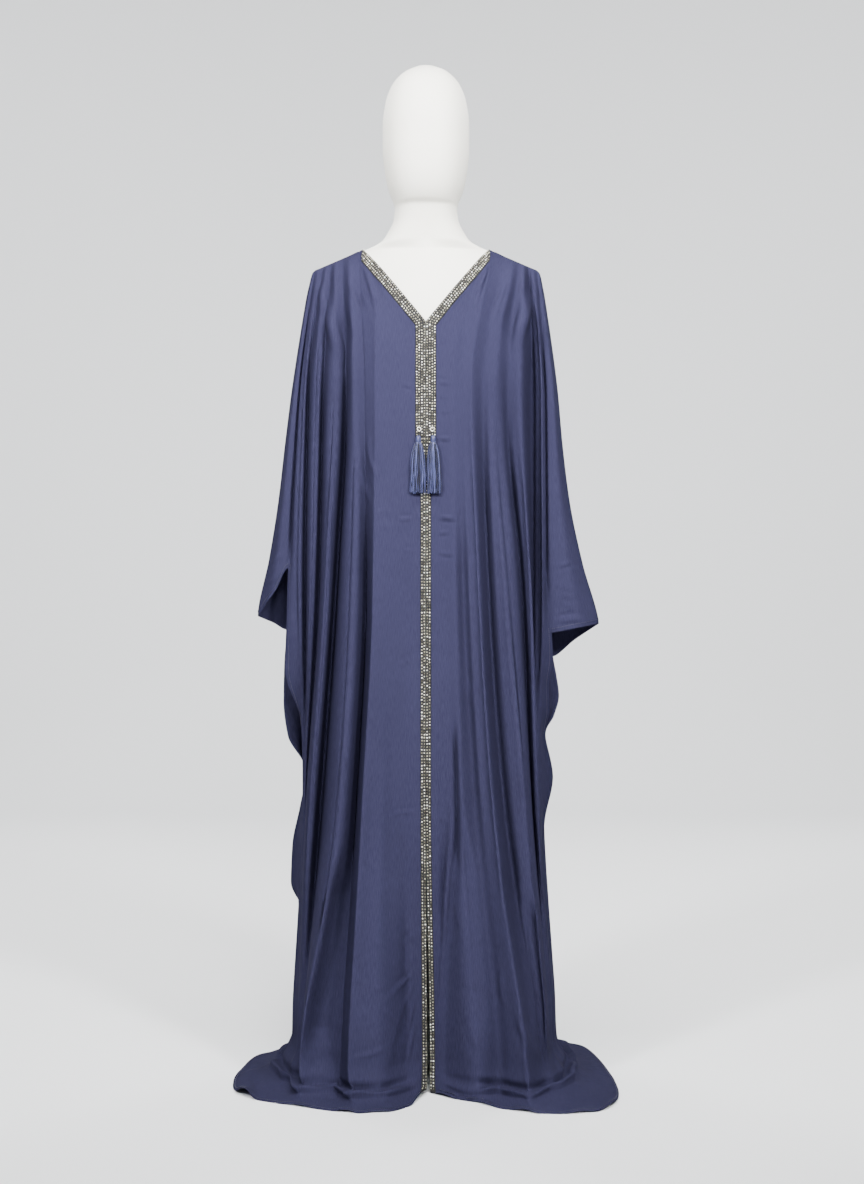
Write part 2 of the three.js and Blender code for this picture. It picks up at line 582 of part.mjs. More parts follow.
for (const name of ['right', 'left']) {
  const front = fronts[name];
  const back = backs[name];
  const stripColumn = front.columnOf(2);
  const edgeColumn = front.columnOf(1);
  addPiece(`front_${name}`, panelGeometry(front), 'cloth');
  addPiece(`back_${name}`, panelGeometry(back), 'cloth');
  const onNeck = (i, j) => (i < front.neckColumn && j < TRIM_ROW) || (i < stripColumn && j < PLACKET_ROW);
  addPiece(`neck_trim_${name}`, trimGeometry(front, onNeck), 'trim');
  addPiece(`back_neck_trim_${name}`, trimGeometry(back, (i, j) => i < back.neckColumn && j < TRIM_ROW), 'trim');
  addPiece(`edge_trim_${name}`, trimGeometry(front, (i, j) => i < edgeColumn && j >= PLACKET_ROW,
    PLACKET_ROW), 'trim');
}

const opening = foldLine(RIGHT_FRONT[0], 'front');
const lean = opening.out(PLACKET_END_Z) - opening.out(PLACKET_END_Z - TASSEL.length) - TASSEL_LEAN_BACK;
const trimFace = CLOTH / 2 + SEAM_GAP + TRIM;
for (const [name, side] of [['right', 1], ['left', -1]]) {
  const stripY = Math.min(...[0, 1, 2].map((i) => fronts[name].grid[i][PLACKET_ROW].y));
  const headY = stripY - trimFace - SEAM_GAP - TASSEL.flat * TASSEL.head;
  const centre = new THREE.Vector3(side * TASSEL.x, headY, PLACKET_END_Z + TASSEL_RISE);
  addPiece(`tassel_${name}`, tasselGeometry(centre, lean, side), 'thread');
}

addPiece('dress_form', formGeometry(), 'form');
const pole = addPiece('form_pole', new THREE.CylinderGeometry(
  POLE.radius, POLE.radius, FORM_BOTTOM_Z - BASE.height - 2 * SEAM_GAP, POLE.sides), 'metal');
pole.rotation.x = Math.PI / 2;
pole.position.z = (FORM_BOTTOM_Z + BASE.height) / 2;
const base = addPiece('form_base', new THREE.CylinderGeometry(
  BASE.radius - BASE.taper, BASE.radius, BASE.height, BASE.sides), 'metal');
base.rotation.x = Math.PI / 2;
base.position.set(0, BASE.back, BASE.height / 2);

// The middle of the footprint is the origin
const footprint = new THREE.Box3().setFromObject(abaya).getCenter(new THREE.Vector3());
abaya.position.set(-footprint.x, -footprint.y, 0);

export default abaya;
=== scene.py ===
"""Open-front butterfly abaya with a beaded trim, on a limbless dress form with a blank head."""

import math
import random
from collections import namedtuple

import bmesh
import bpy
import numpy as np
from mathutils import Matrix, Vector


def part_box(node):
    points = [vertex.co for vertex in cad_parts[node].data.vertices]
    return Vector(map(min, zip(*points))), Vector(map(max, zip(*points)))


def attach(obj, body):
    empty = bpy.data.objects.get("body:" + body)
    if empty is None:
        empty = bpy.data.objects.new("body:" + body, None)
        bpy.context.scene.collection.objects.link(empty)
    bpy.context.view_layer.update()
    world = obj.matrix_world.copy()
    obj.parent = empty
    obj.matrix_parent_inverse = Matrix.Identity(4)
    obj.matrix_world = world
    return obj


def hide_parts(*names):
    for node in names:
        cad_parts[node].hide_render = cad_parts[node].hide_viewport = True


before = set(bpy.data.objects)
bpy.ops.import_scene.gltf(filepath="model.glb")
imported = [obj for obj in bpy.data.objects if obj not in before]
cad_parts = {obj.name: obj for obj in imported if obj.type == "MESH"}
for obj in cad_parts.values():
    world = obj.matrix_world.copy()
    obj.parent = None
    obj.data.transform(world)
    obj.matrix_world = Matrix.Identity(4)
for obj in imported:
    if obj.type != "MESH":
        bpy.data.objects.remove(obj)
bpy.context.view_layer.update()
random.seed(7)

# Sizes in millimetres, as a pattern cutter writes them. Everything built is scaled by MM.
MM = 0.001
CLOTH_WALL = 1.4
SEAM_GAP = 0.3
V_POINT_Z = 1290.0
NECK_POINT = (110.0, 1427.0)
SHOULDER_TIP = (198.0, 1389.0)
SLEEVE_TOP = (199.0, 1379.0)      # the outer fold starts here, below the rounded tip
COLLAR_RISE = 0.35
BUST_Z = 1180.0
PLACKET_END_Z = 1094.0
ANKLE_Z = 60.0
PLACKET_STRIP = 17.5
EDGE_STRIP = 9.0
NECK_TRIM_DROP = 28.6
BACK_NECK_DIP = 26.0
CUFF_LEVEL_Z = 810.0               # height of the cuff's row of points at the opening
WING_INSET = 6.0                   # the wing line starts this far inside the shoulder tip
SLEEVE_TOP_DROP = 3.0              # of the middle line of a sleeve, for the rounded tip
SLEEVE_BELLY = 8.0
SLEEVE_EASE = 0.35                 # how far the middle line of a sleeve falls back from the wing's depth
SHOULDER_SLOPE = (NECK_POINT[1] - SHOULDER_TIP[1]) / (SHOULDER_TIP[0] - NECK_POINT[0])
NECK_CORNER_TOPS = (90.0, 102.0, 110.0)
NECK_DROPS = (0, 0.33, 0.66, 1)         # first rows, as shares of NECK_TRIM_DROP, below the neck edge
SHOULDER_DROPS = (0, 0.12, 0.42, 1)     # and below the shoulder
TOWARD = {"front": -1, "back": 1}       # sign of y on each face
SIDES = {"right": 1, "left": -1}        # sign of x on each side, seen from the front

# The stand is centred on the gown's own axis, and its base is set back by BASE_BACK
BASE_BACK = 20.0
base_low, base_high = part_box("form_base")
AXIS = Vector(((base_low.x + base_high.x) / 2, (base_low.y + base_high.y) / 2 - BASE_BACK * MM, 0))

# Fold lines from neck or shoulder to hem. Top is the place on the neck or shoulder edge, x and out are at
# the heights in LEVELS, and hem is where the line ends on the floor. Out is away from the middle.
FoldLine = namedtuple("FoldLine", "top x out hem")
LEVELS = (90, 500, 840, 1180)
RIGHT_FRONT = [
    (0, (7, 0, 0, 0), (128, 140, 127, 118), (8, 141)),
    (28, (33, 43, 32, 28), (140, 143, 127, 119), (34, 172)),
    (50, (85, 60, 50, 44), (190, 152, 130, 121), (82, 206)),
    (72, (120, 81, 64, 58), (172, 146, 126, 119), (118, 243)),
    (118, (165, 109, 88, 76), (214, 168, 136, 122), (176, 276)),
    (136, (191, 132, 109, 98), (150, 128, 112, 108), (222, 279)),
    (149, (202, 169, 140, 117), (128, 134, 116, 106), (256, 273)),
    (160, (210, 181, 168, 141), (90, 82, 78, 84), (288, 255)),
    (168, (216, 186, 176, 159), (66, 96, 92, 88), (308, 218)),
    (177, (214, 178, 186, 186), (34, 30, 26, 34), (319, 168)),
    (184, (222, 194, 198, 197), (8, 18, 46, 44), (323, 110)),
]
LEFT_FRONT = [
    (0, (-2, 0, 0, 0), (130, 142, 127, 118), (0, 143)),
    (28, (32, 34, 30, 28), (152, 145, 126, 118), (22, 222)),
    (56, (79, 68, 60, 57), (200, 156, 130, 120), (62, 268)),
    (84, (126, 103, 87, 84), (205, 164, 134, 121), (112, 275)),
    (116, (141, 116, 101, 104), (150, 128, 112, 108), (152, 260)),
    (130, (208, 147, 128, 121), (170, 158, 130, 112), (205, 232)),
    (144, (209, 178, 155, 137), (90, 74, 72, 84), (246, 208)),
    (154, (220, 193, 168, 157), (60, 96, 100, 90), (280, 186)),
    (163, (219, 205, 185, 177), (36, 50, 60, 62), (304, 162)),
    (171, (225, 210, 198, 189), (12, 32, 66, 64), (320, 125)),
    (178, (229, 206, 206, 200), (0, 10, 40, 42), (327, 80)),
    (185, (233, 214, 220, 211), (-12, -10, 48, 40), (329, 35)),
]
RIGHT_BACK = [
    (0, (0, 0, 0, 0), (178, 132, 112, 104), (0, 255)),
    (34, (60, 46, 36, 32), (205, 150, 120, 108), (58, 262)),
    (66, (104, 84, 66, 60), (150, 118, 104, 103), (104, 264)),
    (112, (148, 122, 98, 88), (196, 146, 118, 106), (150, 266)),
    (132, (176, 150, 128, 114), (122, 92, 84, 86), (196, 266)),
    (148, (206, 176, 152, 138), (150, 118, 98, 87), (236, 258)),
    (160, (214, 190, 170, 158), (92, 60, 52, 58), (264, 240)),
    (170, (226, 200, 186, 178), (90, 76, 66, 58), (286, 200)),
    (178, (224, 198, 196, 193), (58, 56, 30, 32), (302, 140)),
    (185, (228, 206, 204, 201), (38, 64, 42, 36), (314, 60)),
]
LEFT_BACK = [
    (0, (0, 0, 0, 0), (178, 132, 112, 104), (0, 255)),
    (30, (54, 40, 30, 28), (160, 120, 106, 103), (52, 256)),
    (60, (98, 78, 60, 54), (200, 148, 118, 107), (100, 257)),
    (114, (134, 112, 92, 82), (136, 108, 96, 98), (144, 252)),
    (130, (170, 146, 122, 107), (172, 130, 106, 93), (186, 238)),
    (145, (190, 170, 148, 133), (108, 78, 66, 73), (224, 222)),
    (157, (210, 190, 170, 153), (118, 96, 84, 75), (256, 200)),
    (168, (218, 200, 190, 175), (80, 64, 40, 45), (280, 170)),
    (177, (227, 212, 206, 193), (74, 86, 54, 45), (298, 130)),
    (185, (228, 216, 214, 206), (52, 74, 34, 30), (314, 80)),
]

# The wing edge of each side: the two free edges of the cuff slit, then the seam that joins them.
# In every row: height, x and out.
RIGHT_WING = dict(
    front=[(1180, 207, 26), (840, 211, 30), (765, 216, 32), (705, 219, 22), (660, 209, 12), (625, 214, 2)],
    back=[(1180, 208, -28), (840, 214, -42), (722, 223, -46), (655, 233, -40), (620, 224, -32)],
    seam=[(586, 208, -24), (497, 223, -38), (400, 201, -40), (310, 206, -30), (192, 219, -25),
          (72, 228, -22)],
    hem=(322, 40),
)
LEFT_WING = dict(
    front=[(1180, 219, 24), (876, 237, 30), (773, 240, 30), (718, 243, 22), (650, 240, 12), (604, 213, 2),
           (560, 208, -10)],
    back=[(1180, 219, -28), (876, 232, -42), (769, 244, -46), (670, 250, -40), (600, 247, -36),
          (560, 228, -32)],
    seam=[(523, 209, -24), (431, 227, -52), (342, 241, -58), (247, 205, -42), (163, 213, -32),
          (60, 235, -30)],
    hem=(327, -5),
)
# The outer fold of each sleeve, height and x, and the height of the cuff edge
RIGHT_SLEEVE = dict(
    fold=[(1325, 209), (1237, 221), (1164, 230), (1072, 238), (960, 254), (780, 299)],
    corner=780, front=765, back=722,
)
LEFT_SLEEVE = dict(
    fold=[(1325, 211), (1237, 224), (1164, 235), (1065, 247), (958, 260), (793, 291)],
    corner=793, front=876, back=769,
)

# Rows of guide points down each line, and the fine cells between two guide rows and two lines
CHEST_ROWS = 3
ARM_ROWS = 3
SLIT_ROWS = 4
SKIRT_ROWS = 7
FLOOR_TURN = ((0.3, 20.0), (0.62, 6.0), (1.0, CLOTH_WALL / 2))     # share of the way to the hem, height
TRIM_ROW = 3
PLACKET_ROW = TRIM_ROW + CHEST_ROWS
CUFF_ROW = PLACKET_ROW + ARM_ROWS
SLIT_ROW = CUFF_ROW + SLIT_ROWS
ANKLE_ROW = SLIT_ROW + SKIRT_ROWS
CELLS_DOWN = [4] * TRIM_ROW + [25] * CHEST_ROWS + [29] * ARM_ROWS + [13] * SLIT_ROWS
CELLS_DOWN += [20] * SKIRT_ROWS + [12] * len(FLOOR_TURN)
CELLS_FOLD = 8
CELLS_STRIP = 3
CELLS_CORNER = 4


# Curves

def smooth_through(knots, values, at):
    """Values at rising knots, joined by a smooth curve that never overshoots, read at the places in at."""
    knots = np.asarray(knots, float)
    values = np.asarray(values, float)
    flat = (1,) * (values.ndim - 1)
    slope = np.diff(values, axis=0) / np.diff(knots).reshape(-1, *flat)
    before, after = slope[:-1], slope[1:]
    total = np.where(before + after == 0, 1, before + after)
    inner = np.where(before * after > 0, 2 * before * after / total, 0)
    tangent = np.concatenate([slope[:1], inner, slope[-1:]])
    place = np.clip(np.asarray(at, float), knots[0], knots[-1])
    low = np.clip(np.searchsorted(knots, place, side="right") - 1, 0, len(knots) - 2)
    span = knots[low + 1] - knots[low]
    share = ((place - knots[low]) / span).reshape(-1, *flat)
    span = span.reshape(-1, *flat)
    rise = share ** 2 * (3 - 2 * share)
    bend = tangent[low] * (share - 2 * share ** 2 + share ** 3)
    bend = bend + tangent[low + 1] * (share ** 3 - share ** 2)
    return values[low] * (1 - rise) + values[low + 1] * rise + bend * span


def mix(low, high, share):
    return low + (high - low) * share


def ridge_z(x):
    """Height of the shoulder line over x, carried on towards the neck inside the neck points."""
    if x > NECK_POINT[0]:
        return mix(NECK_POINT[1], SHOULDER_TIP[1], (x - NECK_POINT[0]) / (SHOULDER_TIP[0] - NECK_POINT[0]))
    return NECK_POINT[1] + COLLAR_RISE * (NECK_POINT[0] - x)


def chest_round(z, ridge):
    """Share of the chest depth at a height: a quarter round from the shoulder line down to the bust."""
    down = np.clip((ridge - z) / (ridge - BUST_Z), 0, 1)
    return np.sqrt(1 - (1 - down) ** 2)


def neck_edge(face, x):
    if face == "front":
        return mix(V_POINT_Z, NECK_POINT[1], x / NECK_POINT[0])
    return NECK_POINT[1] - BACK_NECK_DIP * (1 - (x / NECK_POINT[0]) ** 2)


# Lines of a panel, each a dict of functions of height

def fold_line(row, face):
    on_neck = row.top <= NECK_POINT[0]
    ridge = ridge_z(row.top)
    top_z = neck_edge(face, row.top) if on_neck else ridge
    heights = (*LEVELS, top_z, ridge + 1) if on_neck else (*LEVELS, top_z)
    across = (*row.x, row.top, row.top) if on_neck else (*row.x, row.top)

    def out(z):
        return np.where(z > BUST_Z, row.out[3] * chest_round(z, ridge), smooth_through(LEVELS, row.out, z))

    return dict(top_z=top_z, x=lambda z: smooth_through(heights, across, z), out=out, hem=row.hem)


def strip_line(edge, neighbour, width):
    """A line at a fixed width from the opening edge, for the inner edge of a trim."""
    def out(z):
        return mix(edge["out"](z), neighbour["out"](z), width / (neighbour["x"](z) - edge["x"](z)))

    share = width / (neighbour["hem"][0] - edge["hem"][0])
    hem = (edge["hem"][0] + width, mix(edge["hem"][1], neighbour["hem"][1], share))
    return dict(top_z=neck_edge("front", width), x=lambda z: edge["x"](z) + width, out=out, hem=hem)


def row_between(rows, after, top):
    """A table row between two others, started at its own place on the neck edge."""
    low, high = rows[after - 1], rows[after]
    share = (top - low.top) / (high.top - low.top)
    return FoldLine(top, *(tuple(mix(a, b, share) for a, b in zip(*pair)) for pair in zip(low[1:], high[1:])))


def wing_line(wing, face):
    top = SHOULDER_TIP[0] - WING_INSET
    rows = (wing[face] + wing["seam"])[::-1]
    ridge = ridge_z(top)
    sign = -TOWARD[face]
    heights = [row[0] for row in rows]
    depths = [row[2] * sign for row in rows]
    bust = smooth_through(heights, depths, [BUST_Z])[0]

    def out(z):
        return np.where(z > BUST_Z, bust * chest_round(z, ridge), smooth_through(heights, depths, z))

    across = [row[1] for row in rows] + [top]
    return dict(top_z=ridge, x=lambda z: smooth_through(heights + [ridge], across, z), out=out,
                hem=(wing["hem"][0], wing["hem"][1] * sign))


def sleeve_lines(sleeve, wing):
    """The line halfway over the sleeve panel, and the outer fold."""
    rows = sleeve["fold"][::-1] + [SLEEVE_TOP[::-1]]
    heights = [row[0] for row in rows]
    ridge = ridge_z(SHOULDER_TIP[0] - SLEEVE_TOP_DROP) - SLEEVE_TOP_DROP

    def fold_x(z):
        return smooth_through(heights, [row[1] for row in rows], z)

    fold = dict(top_z=SLEEVE_TOP[1], x=fold_x, out=lambda z: 0 * z, hem=wing["hem"])
    middle = dict(
        top_z=ridge,
        x=lambda z: mix(wing["x"](z), fold_x(z), 0.5),
        out=lambda z: mix(wing["out"](z), 0, SLEEVE_EASE) + SLEEVE_BELLY * chest_round(z, ridge),
        hem=wing["hem"],
    )
    return [middle, fold]


def row_heights(line, cuff_z, slit_z, on_neck):
    drops = NECK_DROPS if on_neck else SHOULDER_DROPS
    heights = [line["top_z"] - drop * NECK_TRIM_DROP for drop in drops]
    stretches = ((CHEST_ROWS, PLACKET_END_Z), (ARM_ROWS, cuff_z), (SLIT_ROWS, slit_z), (SKIRT_ROWS, ANKLE_Z))
    for count, low in stretches:
        start = heights[-1]
        heights += [mix(start, low, i / count) for i in range(1, count + 1)]
    return np.array(heights)


def guide_column(line, cuff_z, slit_z, on_neck):
    """Guide points down one line as x, out and height."""
    z = row_heights(line, cuff_z, slit_z, on_neck)
    column = np.stack([line["x"](z), line["out"](z), z], axis=1)
    ankle = column[-1]
    floor = [(mix(ankle[0], line["hem"][0], way), mix(ankle[1], line["hem"][1], way), height)
             for way, height in FLOOR_TURN]
    return np.concatenate([column, floor])


def fine_places(cells):
    """Places along the guide lines, with the given number of cells in each stretch."""
    return np.concatenate([[0]] + [i + np.arange(1, n + 1) / n for i, n in enumerate(cells)])


DOWN_AT = np.concatenate([[0], np.cumsum(CELLS_DOWN)])     # fine row of each guide row


# Soft folds and creases, given one by one. They raise a panel along its normals or press it in.

# Folds that follow the fall of the cloth. x is where the fold crosses FLOW_Z, then its half width,
# its upper and lower end, and how far it stands out. A hollow has a negative depth.
FLOW_Z = 900.0
DEEPEST_HOLLOW = 0.42        # of the cloth's distance from the middle
SOFT_FOLDS = {
    ("front", 1): [
        (61, 14, 1040, 330, -8), (78, 11, 1200, 260, 4), (103, 15, 1270, 60, -21), (121, 8, 1100, 300, 4),
        (138, 13, 1260, 110, 8), (158, 10, 1240, 200, -25), (170, 6, 1180, 250, 5),
        (183, 8, 1380, 560, -23), (194, 6, 1360, 600, 12), (206, 6, 1330, 770, -18),
        (39, 8, 640, 330, -12), (50, 9, 500, 40, 7), (92, 12, 420, 40, -15), (128, 12, 360, 20, -16),
        (112, 9, 400, 20, 8), (20, 6, 760, 300, -2),
    ],
    ("front", -1): [
        (101, 14, 1130, 40, -22), (127, 12, 1240, 60, 9), (149, 10, 1390, 40, -28), (166, 8, 1370, 60, 9),
        (181, 8, 1380, 300, -21), (195, 7, 1370, 500, 7), (208, 7, 1380, 420, -21), (222, 8, 1350, 640, 9),
        (233, 7, 1350, 830, -18), (113, 13, 430, 10, -30), (74, 12, 620, 60, -3), (50, 14, 700, 100, 2),
        (30, 7, 330, 20, -5),
    ],
    ("back", 1): [
        (20, 9, 1150, 120, 3.5), (52, 14, 1250, 60, -20), (74, 9, 1180, 90, 4), (98, 10, 1220, 40, 7.5),
        (128, 12, 1290, 60, -23), (150, 8, 1260, 160, 7), (170, 8, 1330, 260, -20), (182, 6, 1300, 420, 7),
        (195, 7, 1350, 560, -20), (206, 5, 1330, 700, 9),
    ],
    ("back", -1): [
        (16, 8, 980, 200, -3.5), (42, 10, 1200, 80, 4.5), (82, 14, 1270, 50, -21),
        (104, 9, 1190, 120, 4.5), (122, 9, 1240, 60, 7), (146, 10, 1310, 40, -23),
        (166, 7, 1290, 200, 7.5), (188, 8, 1350, 330, -20), (204, 6, 1330, 560, 7.5),
        (218, 7, 1340, 690, -18),
    ],
}
FOLD_PLATEAU = 2.2         # how much of a fold's length has its full depth
# Short creases: x and height of both ends, how far the middle sags sideways, half width and depth.
CREASE_STRENGTH = 1.7
CREASE_RIM = 0.45          # height of the swelling beside a crease, as a share of its depth
CREASES = {
    ("front", 1): [
        (10, 1094, 47, 1091, 0, 4.0, -1.6), (9, 961, 58, 955, -1.5, 4.5, -2.2),
        (9, 933, 43, 937, 1, 4.0, -1.7), (9, 903, 56, 899, 1.5, 4.0, -1.4),
        (17, 1254, 38, 1257, 0, 4.0, -0.8), (18, 1206, 36, 1194, 1, 4.5, -0.9),
        (18, 1190, 43, 1185, 1, 4.5, -1.0), (18, 1164, 40, 1162, 0, 4.0, -0.7),
        (18, 1136, 50, 1139, 0, 5.0, -0.6), (112, 1402, 80, 1288, 6, 6.5, -2.6),
        (138, 1367, 112, 1283, 1, 6.0, -2.6), (192, 1372, 139, 1206, 4, 15, -5.0),
        (60, 1345, 34, 1290, 3, 9.0, -0.9), (9, 476, 39, 451, 3, 4.5, -2.0),
        (10, 424, 19, 404, 1, 4.0, -1.3), (10, 381, 27, 351, 2, 4.5, -1.7),
        (13, 280, 34, 255, 2, 4.5, -1.9), (8, 219, 28, 197, 2, 4.5, -2.0),
        (11, 207, 19, 160, 2, 4.5, -1.8), (54, 196, 106, 167, -2, 4.5, -1.2),
        (125, 214, 130, 152, 2, 5.0, -2.4), (46, 490, 27, 205, 0, 8, -7.0), (29, 262, 13, 84, 0, 7, -7.0),
        (36, 470, 19, 210, 0, 6, 3.0), (22, 114, 28, 84, 2, 4.5, -2.0), (226, 880, 256, 889, 1, 3.5, -1.3),
        (222, 868, 258, 882, -1, 3.5, 1.0), (221, 851, 262, 838, 3, 4.0, -1.1),
        (224, 833, 272, 826, 3, 4.0, -1.3), (222, 812, 262, 806, -3, 4.0, -1.0),
        (218, 792, 276, 796, -4, 5.0, 2.2), (224, 781, 280, 786, -3, 4.0, -1.6),
        (240, 940, 262, 924, 2, 4.0, -0.8), (62, 700, 84, 640, 2, 7.0, -1.0),
        (12, 640, 40, 610, 2, 5.0, -0.7), (50, 330, 70, 240, 3, 6.0, -1.2),
        (70, 140, 96, 70, 4, 6.0, -2.0), (58, 130, 74, 60, 3, 5.0, -1.4),
        (150, 150, 190, 60, 5, 8.0, -2.2),
    ],
    ("front", -1): [
        (49, 956, 9, 960, 0, 4.0, -1.6), (38, 905, 9, 902, 0, 4.0, -1.1), (49, 710, 9, 732, 1, 4.5, -2.4),
        (95, 1101, 77, 1020, -7, 6.0, -1.4), (109, 1084, 92, 980, -7, 6.0, -1.4),
        (87, 968, 64, 973, 0, 4.0, -0.8), (70, 458, 9, 469, 5, 4.5, -1.5),
        (60, 430, 30, 402, 1, 4.5, -0.9), (36, 248, 9, 276, 2, 4.5, -1.9), (78, 152, 9, 211, 1, 4.5, -2.6),
        (118, 176, 58, 185, 2, 4.5, -1.0), (127, 74, 60, 92, -5, 5.0, -1.5),
        (12, 200, 66, 36, -9, 6.0, -3.2), (11, 176, 38, 58, -4, 5.0, -2.4),
        (10, 140, 33, 34, -3, 5.0, -2.4), (24, 190, 52, 60, -5, 5.0, 1.6),
        (18, 1250, 40, 1247, 0, 4.0, -0.7), (18, 1180, 44, 1186, 1, 4.5, -0.9),
        (110, 1398, 84, 1300, 5, 6.5, -2.4), (134, 1370, 108, 1288, 2, 6.0, -2.2),
        (190, 1372, 142, 1212, 5, 15, -4.5), (250, 900, 272, 884, 2, 4.5, -1.4),
        (246, 872, 280, 846, 3, 4.5, -1.3), (252, 846, 284, 818, -3, 4.0, 1.6),
        (262, 830, 290, 806, 2, 4.0, -1.4), (170, 120, 206, 40, 5, 7.0, -2.4),
        (152, 130, 178, 46, 5, 6.0, -2.6), (146, 160, 160, 66, 3, 6.0, -2.2),
        (70, 640, 84, 560, 2, 7.0, -0.9),
    ],
    ("back", 1): [
        (12, 1120, 52, 1113, 2, 5.0, -1.5), (14, 1040, 48, 1047, -1, 4.5, -1.3),
        (8, 934, 50, 929, 1, 4.5, -1.6), (60, 1020, 92, 1004, 2, 5.0, -1.2),
        (104, 1392, 82, 1296, 5, 6.5, -2.4), (132, 1368, 110, 1286, 2, 6.0, -2.2),
        (188, 1370, 140, 1210, 4, 15, -4.5), (10, 708, 46, 690, 2, 4.5, -1.6),
        (20, 470, 60, 446, 3, 4.5, -1.7), (90, 520, 120, 470, 3, 5.0, -1.2),
        (24, 240, 70, 205, 3, 5.0, -2.0), (80, 190, 116, 120, 3, 6.0, -2.2),
        (10, 180, 30, 90, 3, 5.0, -1.8), (226, 872, 258, 884, 1, 4.0, -1.2),
        (222, 830, 268, 818, 3, 4.0, -1.3), (150, 170, 190, 66, 5, 8.0, -2.4),
    ],
    ("back", -1): [
        (50, 1108, 14, 1116, 1, 5.0, -1.5), (44, 1004, 10, 1000, 1, 4.5, -1.3),
        (56, 902, 16, 910, -1, 4.5, -1.6), (106, 1394, 84, 1298, 5, 6.5, -2.4),
        (130, 1370, 106, 1290, 2, 6.0, -2.2), (188, 1372, 142, 1214, 4, 15, -4.5),
        (48, 672, 10, 690, 2, 4.5, -1.7), (64, 430, 18, 458, 3, 4.5, -1.8),
        (110, 500, 84, 450, 3, 5.0, -1.2), (72, 196, 20, 236, 3, 5.0, -2.0),
        (120, 180, 84, 110, 4, 6.0, -2.2), (34, 170, 14, 84, 3, 5.0, -1.8),
        (252, 888, 280, 862, 2, 4.5, -1.3), (250, 850, 286, 822, 3, 4.0, -1.4),
        (152, 160, 196, 60, 5, 8.0, -2.4),
    ],
}
# Where the hem lifts off the floor: x, half width along the hem, and lift of the edge
HEM_LIFTS = {
    ("front", 1): [(30, 26, 5.0), (96, 34, 3.0), (160, 30, 4.5), (250, 40, 4.0), (300, 26, 7.0)],
    ("front", -1): [(8, 20, 8.0), (74, 34, 3.0), (128, 24, 5.0), (205, 40, 3.5), (300, 24, 15.0)],
    ("back", 1): [(40, 36, 4.0), (120, 34, 5.0), (214, 44, 6.0), (290, 30, 4.0)],
    ("back", -1): [(60, 40, 5.0), (150, 36, 4.0), (236, 40, 6.0), (304, 26, 5.0)],
}
HEM_TURN = 62.0            # how far in from the edge a lift reaches
BREAK_Z = 21.0             # height at which the cloth breaks over the floor
BREAK_DEPTH = 13.0
BREAK_HALF = 9.0
BREAK_LEAST = 14.0         # length of cloth on the floor below which there is no break
BREAK_GROWS = 25.0         # more cloth than that by which the break has its full depth
RIPPLE = 1.3               # of the cloth between the break and the hem
FOLD_CALM = 12.0           # beside the trim, over which the folds fade
EDGE_CALM = 5              # columns beside a seam, or a sleeve's outer fold, over which they fade
TOP_CALM = 4               # rows below the trim, over which they fade
BREAK_CALM = 40.0          # beside the trim, over which the break fades
WING_CALM = 7              # columns beside the side seam over which the hem's breaks and lifts fade
CLOTH_ON_FORM = 1.2        # least distance of the cloth's middle from the form


def outward_normals(points):
    """Unit normals of a grid whose second coordinate is the distance out."""
    normals = np.cross(np.gradient(points, axis=1), np.gradient(points, axis=0))
    return normals / np.maximum(np.linalg.norm(normals, axis=2, keepdims=True), 1e-9)


def swell(distance):
    """A soft bell, 1 in the middle and 0 from one half width away."""
    return np.where(np.abs(distance) < 1, (1 + np.cos(np.pi * np.clip(distance, -1, 1))) / 2, 0)


def seam_calm(points, panel):
    """Share of a fold's depth that stays near an edge that meets another piece."""
    column = np.arange(points.shape[0])[:, None]
    row = np.arange(points.shape[1])[None, :]
    from_opening = np.clip((points[:, :, 0] - points[:1, :, 0] - PLACKET_STRIP) / FOLD_CALM, 0, 1)
    from_top = np.clip(row / (DOWN_AT[TRIM_ROW] + TOP_CALM), 0, 1)
    to_fold = np.clip((len(points) - 1 - column) / EDGE_CALM, 0, 1)
    to_wing = np.where(row >= panel["slit"], np.clip((panel["wing"] - column) / EDGE_CALM, 0, 1), 1)
    return from_opening * from_top * to_fold * to_wing


def with_folds(points, table, panel):
    """Raises ridges along the normals, and presses hollows straight in."""
    flow_row = np.argmin(np.abs(points[:, :, 2] - FLOW_Z), axis=1)
    flow = points[np.arange(len(points)), flow_row, 0][:, None]
    z = points[:, :, 2]
    moved = np.zeros(z.shape)
    for x, half, top, bottom, depth in table:
        middle, reach = (top + bottom) / 2, (top - bottom) / 2
        fade = np.clip(FOLD_PLATEAU * swell((z - middle) / reach), 0, 1)
        moved += depth * swell((flow - x) / half) * fade
    moved *= seam_calm(points, panel)
    points = points + outward_normals(points) * np.maximum(moved, 0)[:, :, None]
    points[:, :, 1] -= np.minimum(np.maximum(-moved, 0), DEEPEST_HOLLOW * np.maximum(points[:, :, 1], 0))
    return points


def with_creases(points, table, panel):
    x, z = points[:, :, 0], points[:, :, 2]
    moved = np.zeros(z.shape)
    for x0, z0, x1, z1, sag, half, depth in table:
        run = np.array([x1 - x0, z1 - z0], float)
        length = np.hypot(*run)
        run /= length
        along = ((x - x0) * run[0] + (z - z0) * run[1]) / length
        beside = (x - x0) * run[1] - (z - z0) * run[0] - sag * np.clip(1 - (2 * along - 1) ** 2, 0, 1)
        fade = swell(2 * along - 1) ** 0.6 * (0.8 + 0.2 * np.sin(9 * along + x0))
        profile = swell(beside / half) - CREASE_RIM * swell((beside - 1.5 * half) / (1.3 * half))
        moved += CREASE_STRENGTH * depth * profile * fade
    return points + outward_normals(points) * (moved * seam_calm(points, panel))[:, :, None]


